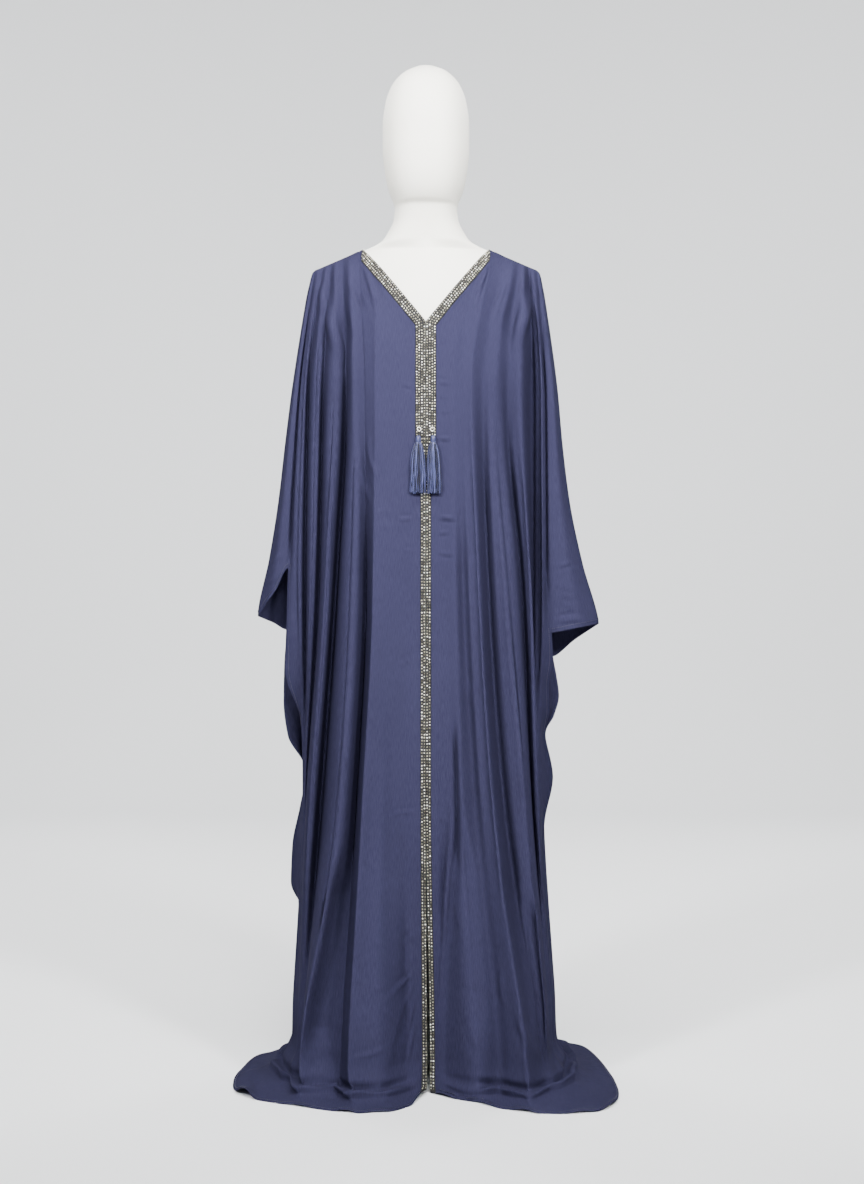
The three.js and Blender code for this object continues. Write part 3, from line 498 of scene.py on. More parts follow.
def with_hem(points, lifts, panel):
    """Breaks the cloth in a soft roll just above the floor, and lifts its edge in places."""
    to_wing = np.clip((panel["wing"] - np.arange(len(points))) / WING_CALM, 0, 1)[:, None]
    step = np.linalg.norm(np.diff(points, axis=1), axis=2)
    from_hem = np.concatenate([np.cumsum(step[:, ::-1], axis=1)[:, ::-1], np.zeros((len(points), 1))], axis=1)
    break_row = np.argmin(np.abs(points[:, :, 2] - BREAK_Z), axis=1)
    break_at = from_hem[np.arange(len(points)), break_row][:, None]
    x = points[:, :, 0]
    uneven = np.clip(0.72 + 0.22 * np.sin(x / 17.0 + 0.6) + 0.14 * np.sin(x / 7.3), 0.1, 1)
    roll = 0.9 * swell((from_hem - break_at - 0.9 * BREAK_HALF) / (1.2 * BREAK_HALF))
    roll = roll - swell((from_hem - break_at + 0.7 * BREAK_HALF) / BREAK_HALF)
    flap = np.clip(1 - from_hem / np.maximum(break_at, 1), 0, 1)
    calm = np.clip((break_at - BREAK_LEAST) / BREAK_GROWS, 0, 1)
    beside_trim = np.clip((x - x[:1] - PLACKET_STRIP) / BREAK_CALM, 0, 1)
    moved = roll * uneven * BREAK_DEPTH * calm * beside_trim * to_wing
    points = points + outward_normals(points) * moved[:, :, None]
    lift = sum(height * swell((x - at) / half) for at, half, height in lifts)
    turn = np.clip(1 - from_hem / HEM_TURN, 0, 1) ** 1.6
    ripple = RIPPLE * np.sin(x / 11.0) * np.sin(from_hem / 15.0) * flap * (1 - flap) * 4
    raised = (lift * turn + np.abs(ripple) * calm) * to_wing
    points[:, :, 2] = np.maximum(points[:, :, 2] + raised, CLOTH_WALL / 2)
    return points


# Distances from the hem of the last rows of points, and how far each stands out. The hem is turned up
# once and stitched down along its fourth row.
HEM_ROWS = [(11.0, 0), (7.4, 0), (5.9, 0.25), (5.2, -0.7), (4.5, 0.45), (2.2, 0.5), (0, 0.25)]
EDGE_STITCH = 3            # rows or columns between a stitched edge and its stitching
STITCH_DEPTH = 0.7


def with_edges(points, panel):
    """Turned and stitched edges along the hem, the cuff and the cuff slit."""
    points = points.copy()
    for column in points:
        step = np.linalg.norm(np.diff(column, axis=0), axis=1)
        from_hem = np.concatenate([np.cumsum(step[::-1])[::-1], [0]])
        for k, (distance, out) in enumerate(HEM_ROWS):
            place = [np.interp(-distance, -from_hem, column[:, axis]) for axis in range(3)]
            column[k - len(HEM_ROWS)] = place
    raised = np.zeros(points.shape[:2])
    raised[:, -len(HEM_ROWS):] = [out for distance, out in HEM_ROWS]
    raised[panel["wing"]:, panel["cuff"] - EDGE_STITCH] = -STITCH_DEPTH
    raised[panel["wing"] - EDGE_STITCH + 1, panel["cuff"]:panel["slit"]] = -STITCH_DEPTH
    points = points + outward_normals(points) * raised[:, :, None]
    points[:, :, 2] = np.maximum(points[:, :, 2], CLOTH_WALL / 2)
    return points


PAINTED_SHADE_REACHES = (4, 8, 12, 18, 26, 36)      # distances at which the cloth beside a point is looked at, for the painted shade in hollows


def painted_shade_openness(points):
    """How open each point lies between the folds beside it, from 0 deep in a hollow to 1 on a ridge. The
    crepe darkens its colour by it: painted shade in the hollows.
    """
    x, out = points[:, :, 0], points[:, :, 1]
    shut = np.zeros(out.shape)
    for row in range(out.shape[1]):
        order = np.argsort(x[:, row])
        for way in (-1, 1):
            beside = [np.interp(x[:, row] + way * reach, x[order, row], out[order, row])
                      for reach in PAINTED_SHADE_REACHES]
            rise = [np.arctan2(other - out[:, row], reach) for other, reach in zip(beside, PAINTED_SHADE_REACHES)]
            shut[:, row] += np.sin(np.clip(np.max(rise, axis=0), 0, None)) / 2
    return 1 - shut


def off_the_form(points, face):
    """Keeps the cloth outside the dress form."""
    depth = form_depth(points[:, :, 0], points[:, :, 2], face)
    points[:, :, 1] = np.maximum(points[:, :, 1], np.where(depth > 0, depth + CLOTH_ON_FORM, -1e3))
    return points


def make_panel(rows, wing, sleeve, face, side):
    """A panel as a fine grid of points in millimetres, with the places of its seams and edges."""
    rows = [FoldLine(*row) for row in rows]
    lines = [fold_line(row, face) for row in rows]
    neck_lines = sum(row.top < NECK_POINT[0] for row in rows)
    widths = (EDGE_STRIP, PLACKET_STRIP) if face == "front" else ()
    strips = [strip_line(lines[0], lines[1], width) for width in widths]
    corner_tops = [top for top in NECK_CORNER_TOPS if top > rows[neck_lines - 1].top]
    corner = [fold_line(row_between(rows, neck_lines, top), face) for top in corner_tops]
    edge = wing_line(wing, face)
    lines = [lines[0], *strips, *lines[1:neck_lines], *corner, *lines[neck_lines:], edge]
    neck_count = len(strips) + neck_lines + len(corner)
    wing_index = len(lines) - 1
    lines += sleeve_lines(sleeve, edge)
    columns = []
    for i, line in enumerate(lines):
        if i <= wing_index:
            cuff_z = mix(CUFF_LEVEL_Z, sleeve[face], (i / wing_index) ** 3)
        else:
            cuff_z = mix(sleeve[face], sleeve["corner"], (i - wing_index) / 2)
        columns.append(guide_column(line, cuff_z, wing["seam"][0][0], i < neck_count))
    cells = [CELLS_STRIP] * len(strips) + [CELLS_FOLD] * (neck_lines - 1)
    cells += [CELLS_CORNER] * len(corner) + [CELLS_FOLD] * (len(lines) - 1 - len(cells) - len(corner))
    guide = np.array(columns).transpose(1, 0, 2)
    guide = smooth_through(np.arange(len(guide)), guide, fine_places(CELLS_DOWN)).transpose(1, 0, 2)
    points = smooth_through(np.arange(len(lines)), guide, fine_places(cells))
    across_at = np.concatenate([[0], np.cumsum(cells)])
    panel = dict(face=face, wing=across_at[wing_index], neck=across_at[neck_count - 1],
                 strip=across_at[2], edge_strip=across_at[1], slit=DOWN_AT[SLIT_ROW], cuff=DOWN_AT[CUFF_ROW])
    points = with_folds(points, SOFT_FOLDS[face, side], panel)
    points = with_creases(points, CREASES[face, side], panel)
    points = with_hem(points, HEM_LIFTS[face, side], panel)
    points = with_edges(points, panel)
    points = off_the_form(points, face)
    points[0, :, 0] += SEAM_GAP / 2
    # Openness of each point, which the crepe turns into painted shade in the hollows
    panel["open"] = painted_shade_openness(points)
    panel["points"] = points * np.array([side, TOWARD[face], 1])
    panel["normals"] = -outward_normals(panel["points"]) * TOWARD[face] * side
    return panel


# Dress form: half width, front and back depth at each height

FORM_FRONT = 102.0
FORM_BACK = 88.0
FORM_BELOW_CLOTH = 1.7
FORM_POWER = 2.4           # roundness of its sections
FORM_TIP_HALF = 172
FORM_BODY = [(745, 128, 74, 84), (756, 142, 86, 96), (840, 150, 92, 98), (930, 138, 88, 88),
             (1010, 126, 88, 78), (1100, 146, 99, 86), (BUST_Z, 165, FORM_FRONT, FORM_BACK)]
FORM_SHOULDER = [(1240, 172), (1300, 176), (1345, 177), (1372, 176), (1384, 174)]
FORM_RIDGE = (1391, 1398, 1406, 1414, 1420, 1424.6)
FORM_HEAD = [(1440, 78, 50, 48), (1455, 67, 51, 50), (1478, 56, 53, 52), (1498, 54, 56, 54),
             (1508, 56, 70, 56), (1528, 64, 83, 64), (1560, 71, 91, 78), (1600, 75, 94, 91),
             (1640, 75, 93, 96), (1680, 70, 86, 92), (1711, 58, 71, 77), (1732, 38, 47, 50),
             (1743, 17, 21, 22)]


def shoulder_share(x, z):
    """Share of the form's depth over x at a height, so that its shoulders lie under the gown's."""
    outside = NECK_POINT[1] - SHOULDER_SLOPE * (np.abs(x) - NECK_POINT[0])
    inside = NECK_POINT[1] + COLLAR_RISE * (NECK_POINT[0] - np.abs(x))
    return chest_round(z, np.where(np.abs(x) > NECK_POINT[0], outside, inside) - FORM_BELOW_CLOTH)


def ridge_half(z):
    """Half width of the form's shoulders near their top."""
    under_cloth = NECK_POINT[0] + (NECK_POINT[1] - FORM_BELOW_CLOTH - z) / SHOULDER_SLOPE
    return min(under_cloth, FORM_TIP_HALF + (FORM_RIDGE[1] - z) / 3)


def form_depth(x, z, face):
    """Depth of the form in front or behind at x and a height, and 0 beside it."""
    rows = FORM_BODY + [(height, half, FORM_FRONT, FORM_BACK) for height, half in FORM_SHOULDER]
    rows += [(height, ridge_half(height), FORM_FRONT, FORM_BACK) for height in FORM_RIDGE]
    heights = [row[0] for row in rows]
    half = np.interp(z, heights, [row[1] for row in rows])
    full = np.interp(z, heights, [row[2 if face == "front" else 3] for row in rows])
    beside = np.clip(np.abs(x) / half, 0, 1)
    share = np.where(z > BUST_Z, shoulder_share(x, z), 1)
    depth = (1 - beside ** FORM_POWER) ** (1 / FORM_POWER) * full * share
    return np.where((z > heights[0]) & (z < heights[-1]), depth, 0)


# Meshes

FACES_SAMPLED = 50         # of a sheet, to tell which way it faces


def put_in_scene(name, data):
    item = bpy.data.objects.new(name, data)
    bpy.context.scene.collection.objects.link(item)
    return item


def smooth_object(name, bm):
    for face in bm.faces:
        face.smooth = True
    mesh = bpy.data.meshes.new(name)
    bm.to_mesh(mesh)
    bm.free()
    return put_in_scene(name, mesh)


def mesh_piece(name, points, faces, smooth=True):
    """A piece from points in millimetres."""
    mesh = bpy.data.meshes.new(name)
    mesh.from_pydata((points * MM + np.array(AXIS)).reshape(-1, 3).tolist(), [], faces)
    if smooth:
        mesh.shade_smooth()
    return put_in_scene(name, mesh)


def give_tones(piece, tones):
    """A shade for each point of a piece, read by its material."""
    piece.data.attributes.new("shade", "FLOAT", "POINT").data.foreach_set("value", tones)


def outside_out(piece):
    """Turns the faces of a closed mesh outwards."""
    bm = bmesh.new()
    bm.from_mesh(piece.data)
    bmesh.ops.recalc_face_normals(bm, faces=bm.faces)
    bm.to_mesh(piece.data)
    bm.free()
    return piece


def unit(vectors):
    return vectors / np.linalg.norm(vectors, axis=1, keepdims=True)


def cloth_grid(name, points, keeps, shade):
    """A sheet from a grid of points in millimetres, with a painted shade for each point, darker in the
    hollows between folds. Its UV map is in metres.
    """
    count_across, count_down = points.shape[0] - 1, points.shape[1] - 1
    bm = bmesh.new()
    bmesh.ops.create_grid(bm, x_segments=count_across, y_segments=count_down, size=1)
    places = [(round((v.co.x + 1) / 2 * count_across), round((1 - v.co.y) / 2 * count_down))
              for v in bm.verts]
    run = np.linalg.norm(np.diff(points, axis=0), axis=2).mean(axis=1)
    drop = np.linalg.norm(np.diff(points, axis=1), axis=2)
    across = np.concatenate([[0], np.cumsum(run)]) * MM
    down = np.concatenate([np.zeros((points.shape[0], 1)), np.cumsum(drop, axis=1)], axis=1) * MM
    uv = bm.loops.layers.uv.new("cloth")
    for face in bm.faces:
        for loop in face.loops:
            i, j = places[loop.vert.index]
            loop[uv].uv = (across[i], -down[i, j])
    # Painted shade of each point, read by the crepe's colour
    painted_shade_share = bm.verts.layers.float.new("open")
    for vert in bm.verts:
        i, j = places[vert.index]
        vert.co = Vector(points[i, j]) * MM + AXIS
        vert[painted_shade_share] = shade[i, j]
    dropped = []
    for face in bm.faces:
        corners = [places[v.index] for v in face.verts]
        if not keeps(min(c[0] for c in corners), min(c[1] for c in corners)):
            dropped.append(face)
    if dropped:
        bmesh.ops.delete(bm, geom=dropped, context="FACES")
    return smooth_object(name, bm)


def cloth_piece(name, panel, points, wall, keeps):
    """A sheet with a wall, its faces turned to the outside of the gown."""
    piece = cloth_grid(name, points, keeps, panel["open"])
    mesh = piece.data
    step = max(1, len(mesh.polygons) // FACES_SAMPLED)
    if sum(polygon.normal.y for polygon in list(mesh.polygons)[::step]) * TOWARD[panel["face"]] < 0:
        mesh.flip_normals()
    solid = piece.modifiers.new("wall", "SOLIDIFY")
    solid.thickness = wall * MM
    solid.offset = 0
    return piece


# Materials

PAINTED_HOLLOW_SHADE = 0.8         # painted shade: the share of the crepe's colour left deep between two folds
PAINTED_HOLLOW_OPEN = (0.2, 0.95)  # openness at that painted shade, and at the full colour


def node_material(name):
    material = bpy.data.materials.new(name)
    material.use_nodes = True
    tree = material.node_tree
    return material, tree, tree.nodes["Principled BSDF"]


def fill(tree, node, inputs):
    """Sets the inputs of a node, each to a value or to the output of another node."""
    for key, value in inputs.items():
        if isinstance(value, bpy.types.NodeSocket):
            tree.links.new(value, node.inputs[key])
        else:
            node.inputs[key].default_value = value


def add_node(tree, kind, inputs, output=0, **settings):
    """Adds a shader node and gives the output that is used of it."""
    node = tree.nodes.new("ShaderNode" + kind)
    for key, value in settings.items():
        setattr(node, key, value)
    fill(tree, node, inputs)
    return node.outputs[output]


def noise(tree, place, scale, detail=2, **settings):
    return add_node(tree, "TexNoise", {"Vector": place, "Scale": scale, "Detail": detail}, "Fac", **settings)


def ramp(tree, share, *stops):
    """Colours along a share, each stop a place and a colour."""
    node = tree.nodes.new("ShaderNodeValToRGB")
    elements = node.color_ramp.elements
    elements[0].position, elements[1].position = stops[0][0], stops[-1][0]
    for place, colour in stops[1:-1]:
        elements.new(place)
    for element, (place, colour) in zip(elements, stops):
        element.color = (*colour, 1)
    fill(tree, node, {0: share})
    return node.outputs[0]


def multiply(tree, share, colour, other):
    inputs = {"Factor": share, 6: colour, 7: other}
    return add_node(tree, "Mix", inputs, 2, data_type="RGBA", blend_type="MULTIPLY")


def bump(tree, height, strength, distance):
    return add_node(tree, "Bump", {"Strength": strength, "Distance": distance, "Height": height})


def crepe_material():
    """Matt navy crepe: fine upright slubs, a grainy hand, slight changes of shade, and painted shade that
    darkens it in the hollows between folds.
    """
    material, tree, shader = node_material("gown crepe")
    place = add_node(tree, "UVMap", {}, uv_map="cloth")
    slub_place = add_node(tree, "Mapping", {0: place, "Scale": (900, 70, 1)})
    slub = noise(tree, slub_place, 1, 3, noise_dimensions="2D")
    grain = noise(tree, place, 1500, noise_dimensions="2D")
    shade = noise(tree, place, 5, 4, noise_dimensions="2D")
    both = add_node(tree, "Mix", {"Factor": 0.4, 2: slub, 3: grain}, data_type="FLOAT")
    colours = ramp(tree, both, (0.3, (0.0185, 0.0178, 0.0395)), (0.7, (0.0300, 0.0292, 0.0620)))
    tint = multiply(tree, 0.22, colours, shade)
    # Painted shade: the colour is darkened where the cloth lies deep between two folds
    painted_shade_share = add_node(tree, "Attribute", {}, "Fac", attribute_name="open")
    deep = add_node(tree, "MapRange", {0: painted_shade_share, "From Min": PAINTED_HOLLOW_OPEN[0], "From Max": PAINTED_HOLLOW_OPEN[1],
                                       "To Min": PAINTED_HOLLOW_SHADE, "To Max": 1.0})
    fill(tree, shader, {"Base Color": multiply(tree, 1, tint, deep), "Normal": bump(tree, both, 0.25, 0.0006),
                        "Roughness": 0.9, "Specular IOR Level": 0.01})
    return material


def noise_material(name, scale, stops, inputs):
    """A material whose colours follow one fine noise."""
    material, tree, shader = node_material(name)
    place = add_node(tree, "TexCoord", {}, "Object")
    fill(tree, shader, {"Base Color": ramp(tree, noise(tree, place, scale), *stops), **inputs})
    return material


def bead_material():
    """Silver-grey glass beads, each with a shade of its own."""
    material, tree, shader = node_material("trim beads")
    shade = add_node(tree, "Attribute", {}, "Fac", attribute_name="shade")
    colours = ramp(tree, shade, (0.0, (0.012, 0.012, 0.013)), (0.35, (0.10, 0.094, 0.068)),
                   (0.8, (0.50, 0.48, 0.37)), (1.0, (1, 1, 0.95)))
    fill(tree, shader, {"Base Color": colours, "Roughness": 0.25, "Metallic": 0.2})
    return material


def thread_material():
    """Periwinkle silk. Every thread has a random shade of its own, whose near-black end is painted shade
    between the threads, and the cap has the middle one.
    """
    material, tree, shader = node_material("tassel thread")
    place = add_node(tree, "Mapping", {0: add_node(tree, "TexCoord", {}, "Object"), "Scale": (900, 900, 90)})
    shade = add_node(tree, "Attribute", {}, "Fac", attribute_name="shade")
    both = add_node(tree, "Math", {0: noise(tree, place, 1), 1: 0.35, 2: shade}, operation="MULTIPLY_ADD")
    # Near-black low end: painted shade between the threads
    colours = ramp(tree, both, (0.2, (0.002, 0.002, 0.007)), (0.6, (0.013, 0.015, 0.044)),
                   (1.0, (0.10, 0.115, 0.29)))
    fill(tree, shader, {"Base Color": colours, "Roughness": 0.38, "Specular IOR Level": 0.3})
    return material


def shell_material():
    """Smooth cream shell of the form, with a very fine orange-peel and slight changes of shade."""
    material, tree, shader = node_material("form shell")
    place = add_node(tree, "TexCoord", {}, "Object")
    colours = ramp(tree, noise(tree, place, 9), (0, (0.80, 0.78, 0.70)), (1, (0.88, 0.86, 0.79)))
    peel = bump(tree, noise(tree, place, 420), 0.12, 0.0003)
    fill(tree, shader, {"Base Color": colours, "Normal": peel, "Roughness": 0.55})
    return material


def steel_material():
    material, tree, shader = node_material("stand steel")
    place = add_node(tree, "TexCoord", {}, "Object")
    rough = add_node(tree, "MapRange", {0: noise(tree, place, 260), "To Min": 0.28, "To Max": 0.5})
    fill(tree, shader, {"Roughness": rough, "Base Color": (0.45, 0.46, 0.48, 1), "Metallic": 0.95})
    return material


CREPE = crepe_material()
SEWING = noise_material("sewing thread", 900, ((0, (0.008, 0.008, 0.018)), (1, (0.022, 0.022, 0.046))),
                        {"Roughness": 0.6})
BRAID = noise_material("trim braid", 700, ((0.35, (0.010, 0.010, 0.012)), (0.7, (0.030, 0.029, 0.028))),
                       {"Roughness": 0.75, "Specular IOR Level": 0.08})
BEADS = bead_material()
THREAD = thread_material()
SHELL = shell_material()
STEEL = steel_material()


def declare(piece, material, slot, *nodes):
    piece.data.materials.clear()
    piece.data.materials.append(material)
    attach(piece, "root")
    if nodes:
        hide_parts(*nodes)
    return piece


# Panels of the gown

panels = {
    ("front", "right"): make_panel(RIGHT_FRONT, RIGHT_WING, RIGHT_SLEEVE, "front", 1),
    ("front", "left"): make_panel(LEFT_FRONT, LEFT_WING, LEFT_SLEEVE, "front", -1),
    ("back", "right"): make_panel(RIGHT_BACK, RIGHT_WING, RIGHT_SLEEVE, "back", 1),
    ("back", "left"): make_panel(LEFT_BACK, LEFT_WING, LEFT_SLEEVE, "back", -1),
}


def gown_panel(face, side):
    panel = panels[face, side]
    piece = cloth_piece(f"gown_{face}_{side}", panel, panel["points"], CLOTH_WALL,
                        lambda i, j: i < panel["wing"] or j < panel["cuff"])
    return declare(piece, CREPE, "gown_crepe", f"{face}_{side}")


gown = {key: gown_panel(*key) for key in panels}


# Trims

BRAID_NEAR = CLOTH_WALL / 2 + 0.2
BRAID_WALL = 0.8
BEAD_NEAR = BRAID_NEAR + BRAID_WALL - 0.1
TRIM_ROWS = DOWN_AT[TRIM_ROW]
PLACKET_ROWS = DOWN_AT[PLACKET_ROW]


def trim_strip(name, panel, keeps, node, last_column):
    lifted = panel["points"] + panel["normals"] * (BRAID_NEAR + BRAID_WALL / 2)
    piece = cloth_piece(name, panel, lifted[:last_column + 1], BRAID_WALL, keeps)
    return declare(piece, BRAID, "beaded_trim", node)


# Columns of beads across a strip: distance from its inner edge, diameter, and pitch along it
WIDE_BEADS = [(2.1, 2.9, 4.6), (4.25, 1.1, 3.6), (6.4, 3.0, 4.9), (8.6, 1.1, 3.7),
              (10.8, 2.9, 4.7), (12.9, 1.1, 3.6), (15.1, 2.9, 4.8)]
NARROW_BEADS = [(2.3, 2.9, 5.1), (4.4, 1.1, 3.7), (6.5, 2.9, 5.2)]
BEAD_RISE = 0.3            # of a bead's middle above the braid, as a share of its radius
BEAD_HEIGHT = 0.75         # as a share of its width
BEAD_JITTER = 0.22
BEAD_SIZES = (0.82, 1.08)  # smallest and largest, as shares of the column's size
LARGE_BEAD = 1.1           # radius from which a bead counts as large
LARGE_TONES = (0.35, 0.5, 0.65, 0.75, 0.9)
SEED_TONES = (0, 0.05, 0.15, 0.3)
WHITE_SHARE = 0.07
RUN_SAMPLES = 500


def read_grid(grid, i, j):
    """Values of a grid at fractional places."""
    i = np.clip(i, 0, grid.shape[0] - 1.001)
    j = np.clip(j, 0, grid.shape[1] - 1.001)
    low_i, low_j = i.astype(int), j.astype(int)
    a, b = (i - low_i)[:, None], (j - low_j)[:, None]
    near = grid[low_i, low_j] * (1 - b) + grid[low_i, low_j + 1] * b
    far = grid[low_i + 1, low_j] * (1 - b) + grid[low_i + 1, low_j + 1] * b
    return near * (1 - a) + far * a


def bead_run(panel, start, end, pitch, offset):
    """Evenly spaced places on a panel between two places of its grid."""
    share = np.linspace(0, 1, RUN_SAMPLES)
    i, j = mix(start[0], end[0], share), mix(start[1], end[1], share)
    path = read_grid(panel["points"], i, j)
    length = np.concatenate([[0], np.cumsum(np.linalg.norm(np.diff(path, axis=0), axis=1))])
    at = np.interp(np.arange(offset, length[-1] - pitch * 0.3, pitch), length, share)
    i, j = mix(start[0], end[0], at), mix(start[1], end[1], at)
    return read_grid(panel["points"], i, j), unit(read_grid(panel["normals"], i, j))


def bead_rows(panel, columns, width, runs):
    """Beads of all columns as centres, radii, normals and tones."""
    centres, radii, normals = [], [], []
    for number, (place, diameter, pitch) in enumerate(columns):
        for ends in runs(place / width):
            at, up = bead_run(panel, *ends, pitch, pitch * (0.25 + 0.5 * (number % 2)))
            jitter = np.array([random.uniform(-BEAD_JITTER, BEAD_JITTER) for _ in at.flat])
            radius = diameter / 2 * np.array([random.uniform(*BEAD_SIZES) for _ in at])
            centres.append(at + jitter.reshape(at.shape) + up * (BEAD_NEAR + radius[:, None] * BEAD_RISE))
            radii.append(radius)
            normals.append(up)
    radii = np.concatenate(radii)
    return np.concatenate(centres), radii, np.concatenate(normals), bead_tones(radii)


def bead_tones(radii):
    """A shade for each bead: seed beads are dark, and a few of the large ones are white."""
    tones = [random.choice(LARGE_TONES if radius > LARGE_BEAD else SEED_TONES) for radius in radii]
    return [1.0 if radius > LARGE_BEAD and random.random() < WHITE_SHARE else tone
            for tone, radius in zip(tones, radii)]


def bead_mesh(name, centres, radii, normals, tones, node):
    """All beads of a strip in one mesh, each a small faceted ball with a shade of its own."""
    bm = bmesh.new()
    bmesh.ops.create_icosphere(bm, subdivisions=1, radius=1)
    ball = np.array([v.co for v in bm.verts])
    facets = np.array([[v.index for v in f.verts] for f in bm.faces])
    bm.free()
    count = len(centres)
    turn = np.array([random.uniform(0, math.tau) for _ in range(count)])
    side = np.cross(normals, [0, 0, 1.0])
    side /= np.maximum(np.linalg.norm(side, axis=1, keepdims=True), 1e-6)
    other = np.cross(normals, side)
    spun_x = ball[:, 0][None] * np.cos(turn)[:, None] - ball[:, 1][None] * np.sin(turn)[:, None]
    spun_y = ball[:, 0][None] * np.sin(turn)[:, None] + ball[:, 1][None] * np.cos(turn)[:, None]
    local = spun_x[:, :, None] * side[:, None] + spun_y[:, :, None] * other[:, None]
    local = local + BEAD_HEIGHT * ball[:, 2][None, :, None] * normals[:, None]
    faces = (facets[None] + np.arange(count)[:, None, None] * len(ball)).reshape(-1, 3)
    piece = mesh_piece(name, centres[:, None] + local * radii[:, None, None], faces.tolist())
    give_tones(piece, np.repeat(tones, len(ball)))
    return declare(piece, BEADS, "beaded_trim", node)


RING_BEADS = 9
RING_RADIUS = 3.3
RING_BEAD_RADIUS = 1.0
RING_PLACE = 11.0          # from the opening edge
RING_UP = 14.0             # above the end of the placket
RING_RISE = 0.7


def ring_of_beads(panel):
    """A small ring of white beads near the foot of a placket strip."""
    turn = np.linspace(0, math.tau, RING_BEADS, endpoint=False)
    row_drop = panel["points"][0, PLACKET_ROWS - 1, 2] - panel["points"][0, PLACKET_ROWS, 2]
    i = panel["strip"] * (RING_PLACE + RING_RADIUS * np.cos(turn)) / PLACKET_STRIP
    j = PLACKET_ROWS - (RING_UP + RING_RADIUS * np.sin(turn)) / row_drop
    normals = unit(read_grid(panel["normals"], i, j))
    centres = read_grid(panel["points"], i, j) + normals * (BEAD_NEAR + RING_RISE)
    return centres, np.full(RING_BEADS, RING_BEAD_RADIUS), normals, np.ones(RING_BEADS)


RUN_START = 1.2            # rows from the neck's bead columns to the first bead of the placket's


def neck_runs(panel, has_placket):
    """Runs of one bead column: along the neck edge, and down the placket on a front."""
    neck, strip = panel["neck"], panel["strip"]

    def runs(share):
        row = share * TRIM_ROWS
        if not has_placket:
            return [((0, row), (neck, row))]
        down = ((share * strip, row + RUN_START), (share * strip, PLACKET_ROWS))
        return [((share * strip, row), (neck, row)), down]

    return runs


def edge_runs(panel):
    """Runs of one bead column down the front edge."""
    strip, foot = panel["edge_strip"], panel["points"].shape[1] - 2
    return lambda share: [((share * strip, PLACKET_ROWS + 0.5), (share * strip, foot))]


for name in SIDES:
    front, back = panels["front", name], panels["back", name]
    trim_strip(f"neck_braid_{name}", front, lambda i, j: (i < front["neck"] and j < TRIM_ROWS)
               or (i < front["strip"] and j < PLACKET_ROWS), f"neck_trim_{name}", front["neck"])
    trim_strip(f"back_neck_braid_{name}", back, lambda i, j: i < back["neck"] and j < TRIM_ROWS,
               f"back_neck_trim_{name}", back["neck"])
    trim_strip(f"edge_braid_{name}", front, lambda i, j: i < front["edge_strip"] and j >= PLACKET_ROWS,
               f"edge_trim_{name}", front["edge_strip"])
    bead_mesh(f"neck_beads_{name}", *bead_rows(front, WIDE_BEADS, PLACKET_STRIP, neck_runs(front, True)),
              f"neck_trim_{name}")
    bead_mesh(f"placket_ring_{name}", *ring_of_beads(front), f"neck_trim_{name}")
    bead_mesh(f"back_neck_beads_{name}", *bead_rows(back, WIDE_BEADS, PLACKET_STRIP, neck_runs(back, False)),
              f"back_neck_trim_{name}")
    bead_mesh(f"edge_beads_{name}", *bead_rows(front, NARROW_BEADS, EDGE_STRIP, edge_runs(front)),
              f"edge_trim_{name}")


# Sewing: short threads let into the cloth, in one mesh for each piece

STITCH = (2.3, 0.5, 0.34)     # length, width and height
STITCH_PITCH = 3.4
STITCH_SINK = 0.05
HEM_STITCH_ROW = 3.0         # rows of points between the stitching and the edge


def stitch_mesh(name, panel, runs, node):
    """Stitches along runs over a panel, each run from one place of its grid to another."""
    centres, ways, ups = [], [], []
    for start, end in runs:
        at, up = bead_run(panel, start, end, STITCH_PITCH, STITCH_PITCH / 2)
        ways.append(unit(np.gradient(at, axis=0)))
        centres.append(at + up * (CLOTH_WALL / 2 + STITCH[2] / 2 - STITCH_SINK))
        ups.append(up)
    centres, ways, ups = (np.concatenate(part) for part in (centres, ways, ups))
    beside = np.cross(ups, ways)
    box = np.array([(x, y, z) for x in (-0.5, 0.5) for y in (-0.5, 0.5) for z in (-0.5, 0.5)]) * STITCH
    frames = np.stack([ways, beside, ups], axis=1)
    sides = np.array([(0, 1, 3, 2), (4, 6, 7, 5), (0, 4, 5, 1), (2, 3, 7, 6), (0, 2, 6, 4), (1, 5, 7, 3)])
    faces = (sides[None] + 8 * np.arange(len(centres))[:, None, None]).reshape(-1, 4)
    piece = mesh_piece(name, centres[:, None] + box @ frames, faces.tolist(), smooth=False)
    return declare(outside_out(piece), SEWING, "gown_crepe", node)


def gown_stitches(face, side):
    """Stitching of the hem, the cuff and the cuff slit."""
    panel = panels[face, side]
    across, down = (count - 1 for count in panel["points"].shape[:2])
    wing, cuff, hem = panel["wing"], panel["cuff"] - EDGE_STITCH, down - HEM_STITCH_ROW
    slit_edge = wing - EDGE_STITCH + 1
    runs = [((0, hem), (wing, hem)), ((wing, cuff), (across, cuff)),
            ((slit_edge, cuff), (slit_edge, panel["slit"]))]
    return stitch_mesh(f"gown_stitches_{face}_{side}", panel, runs, f"{face}_{side}")


for face, side in panels:
    gown_stitches(face, side)


# Tassels

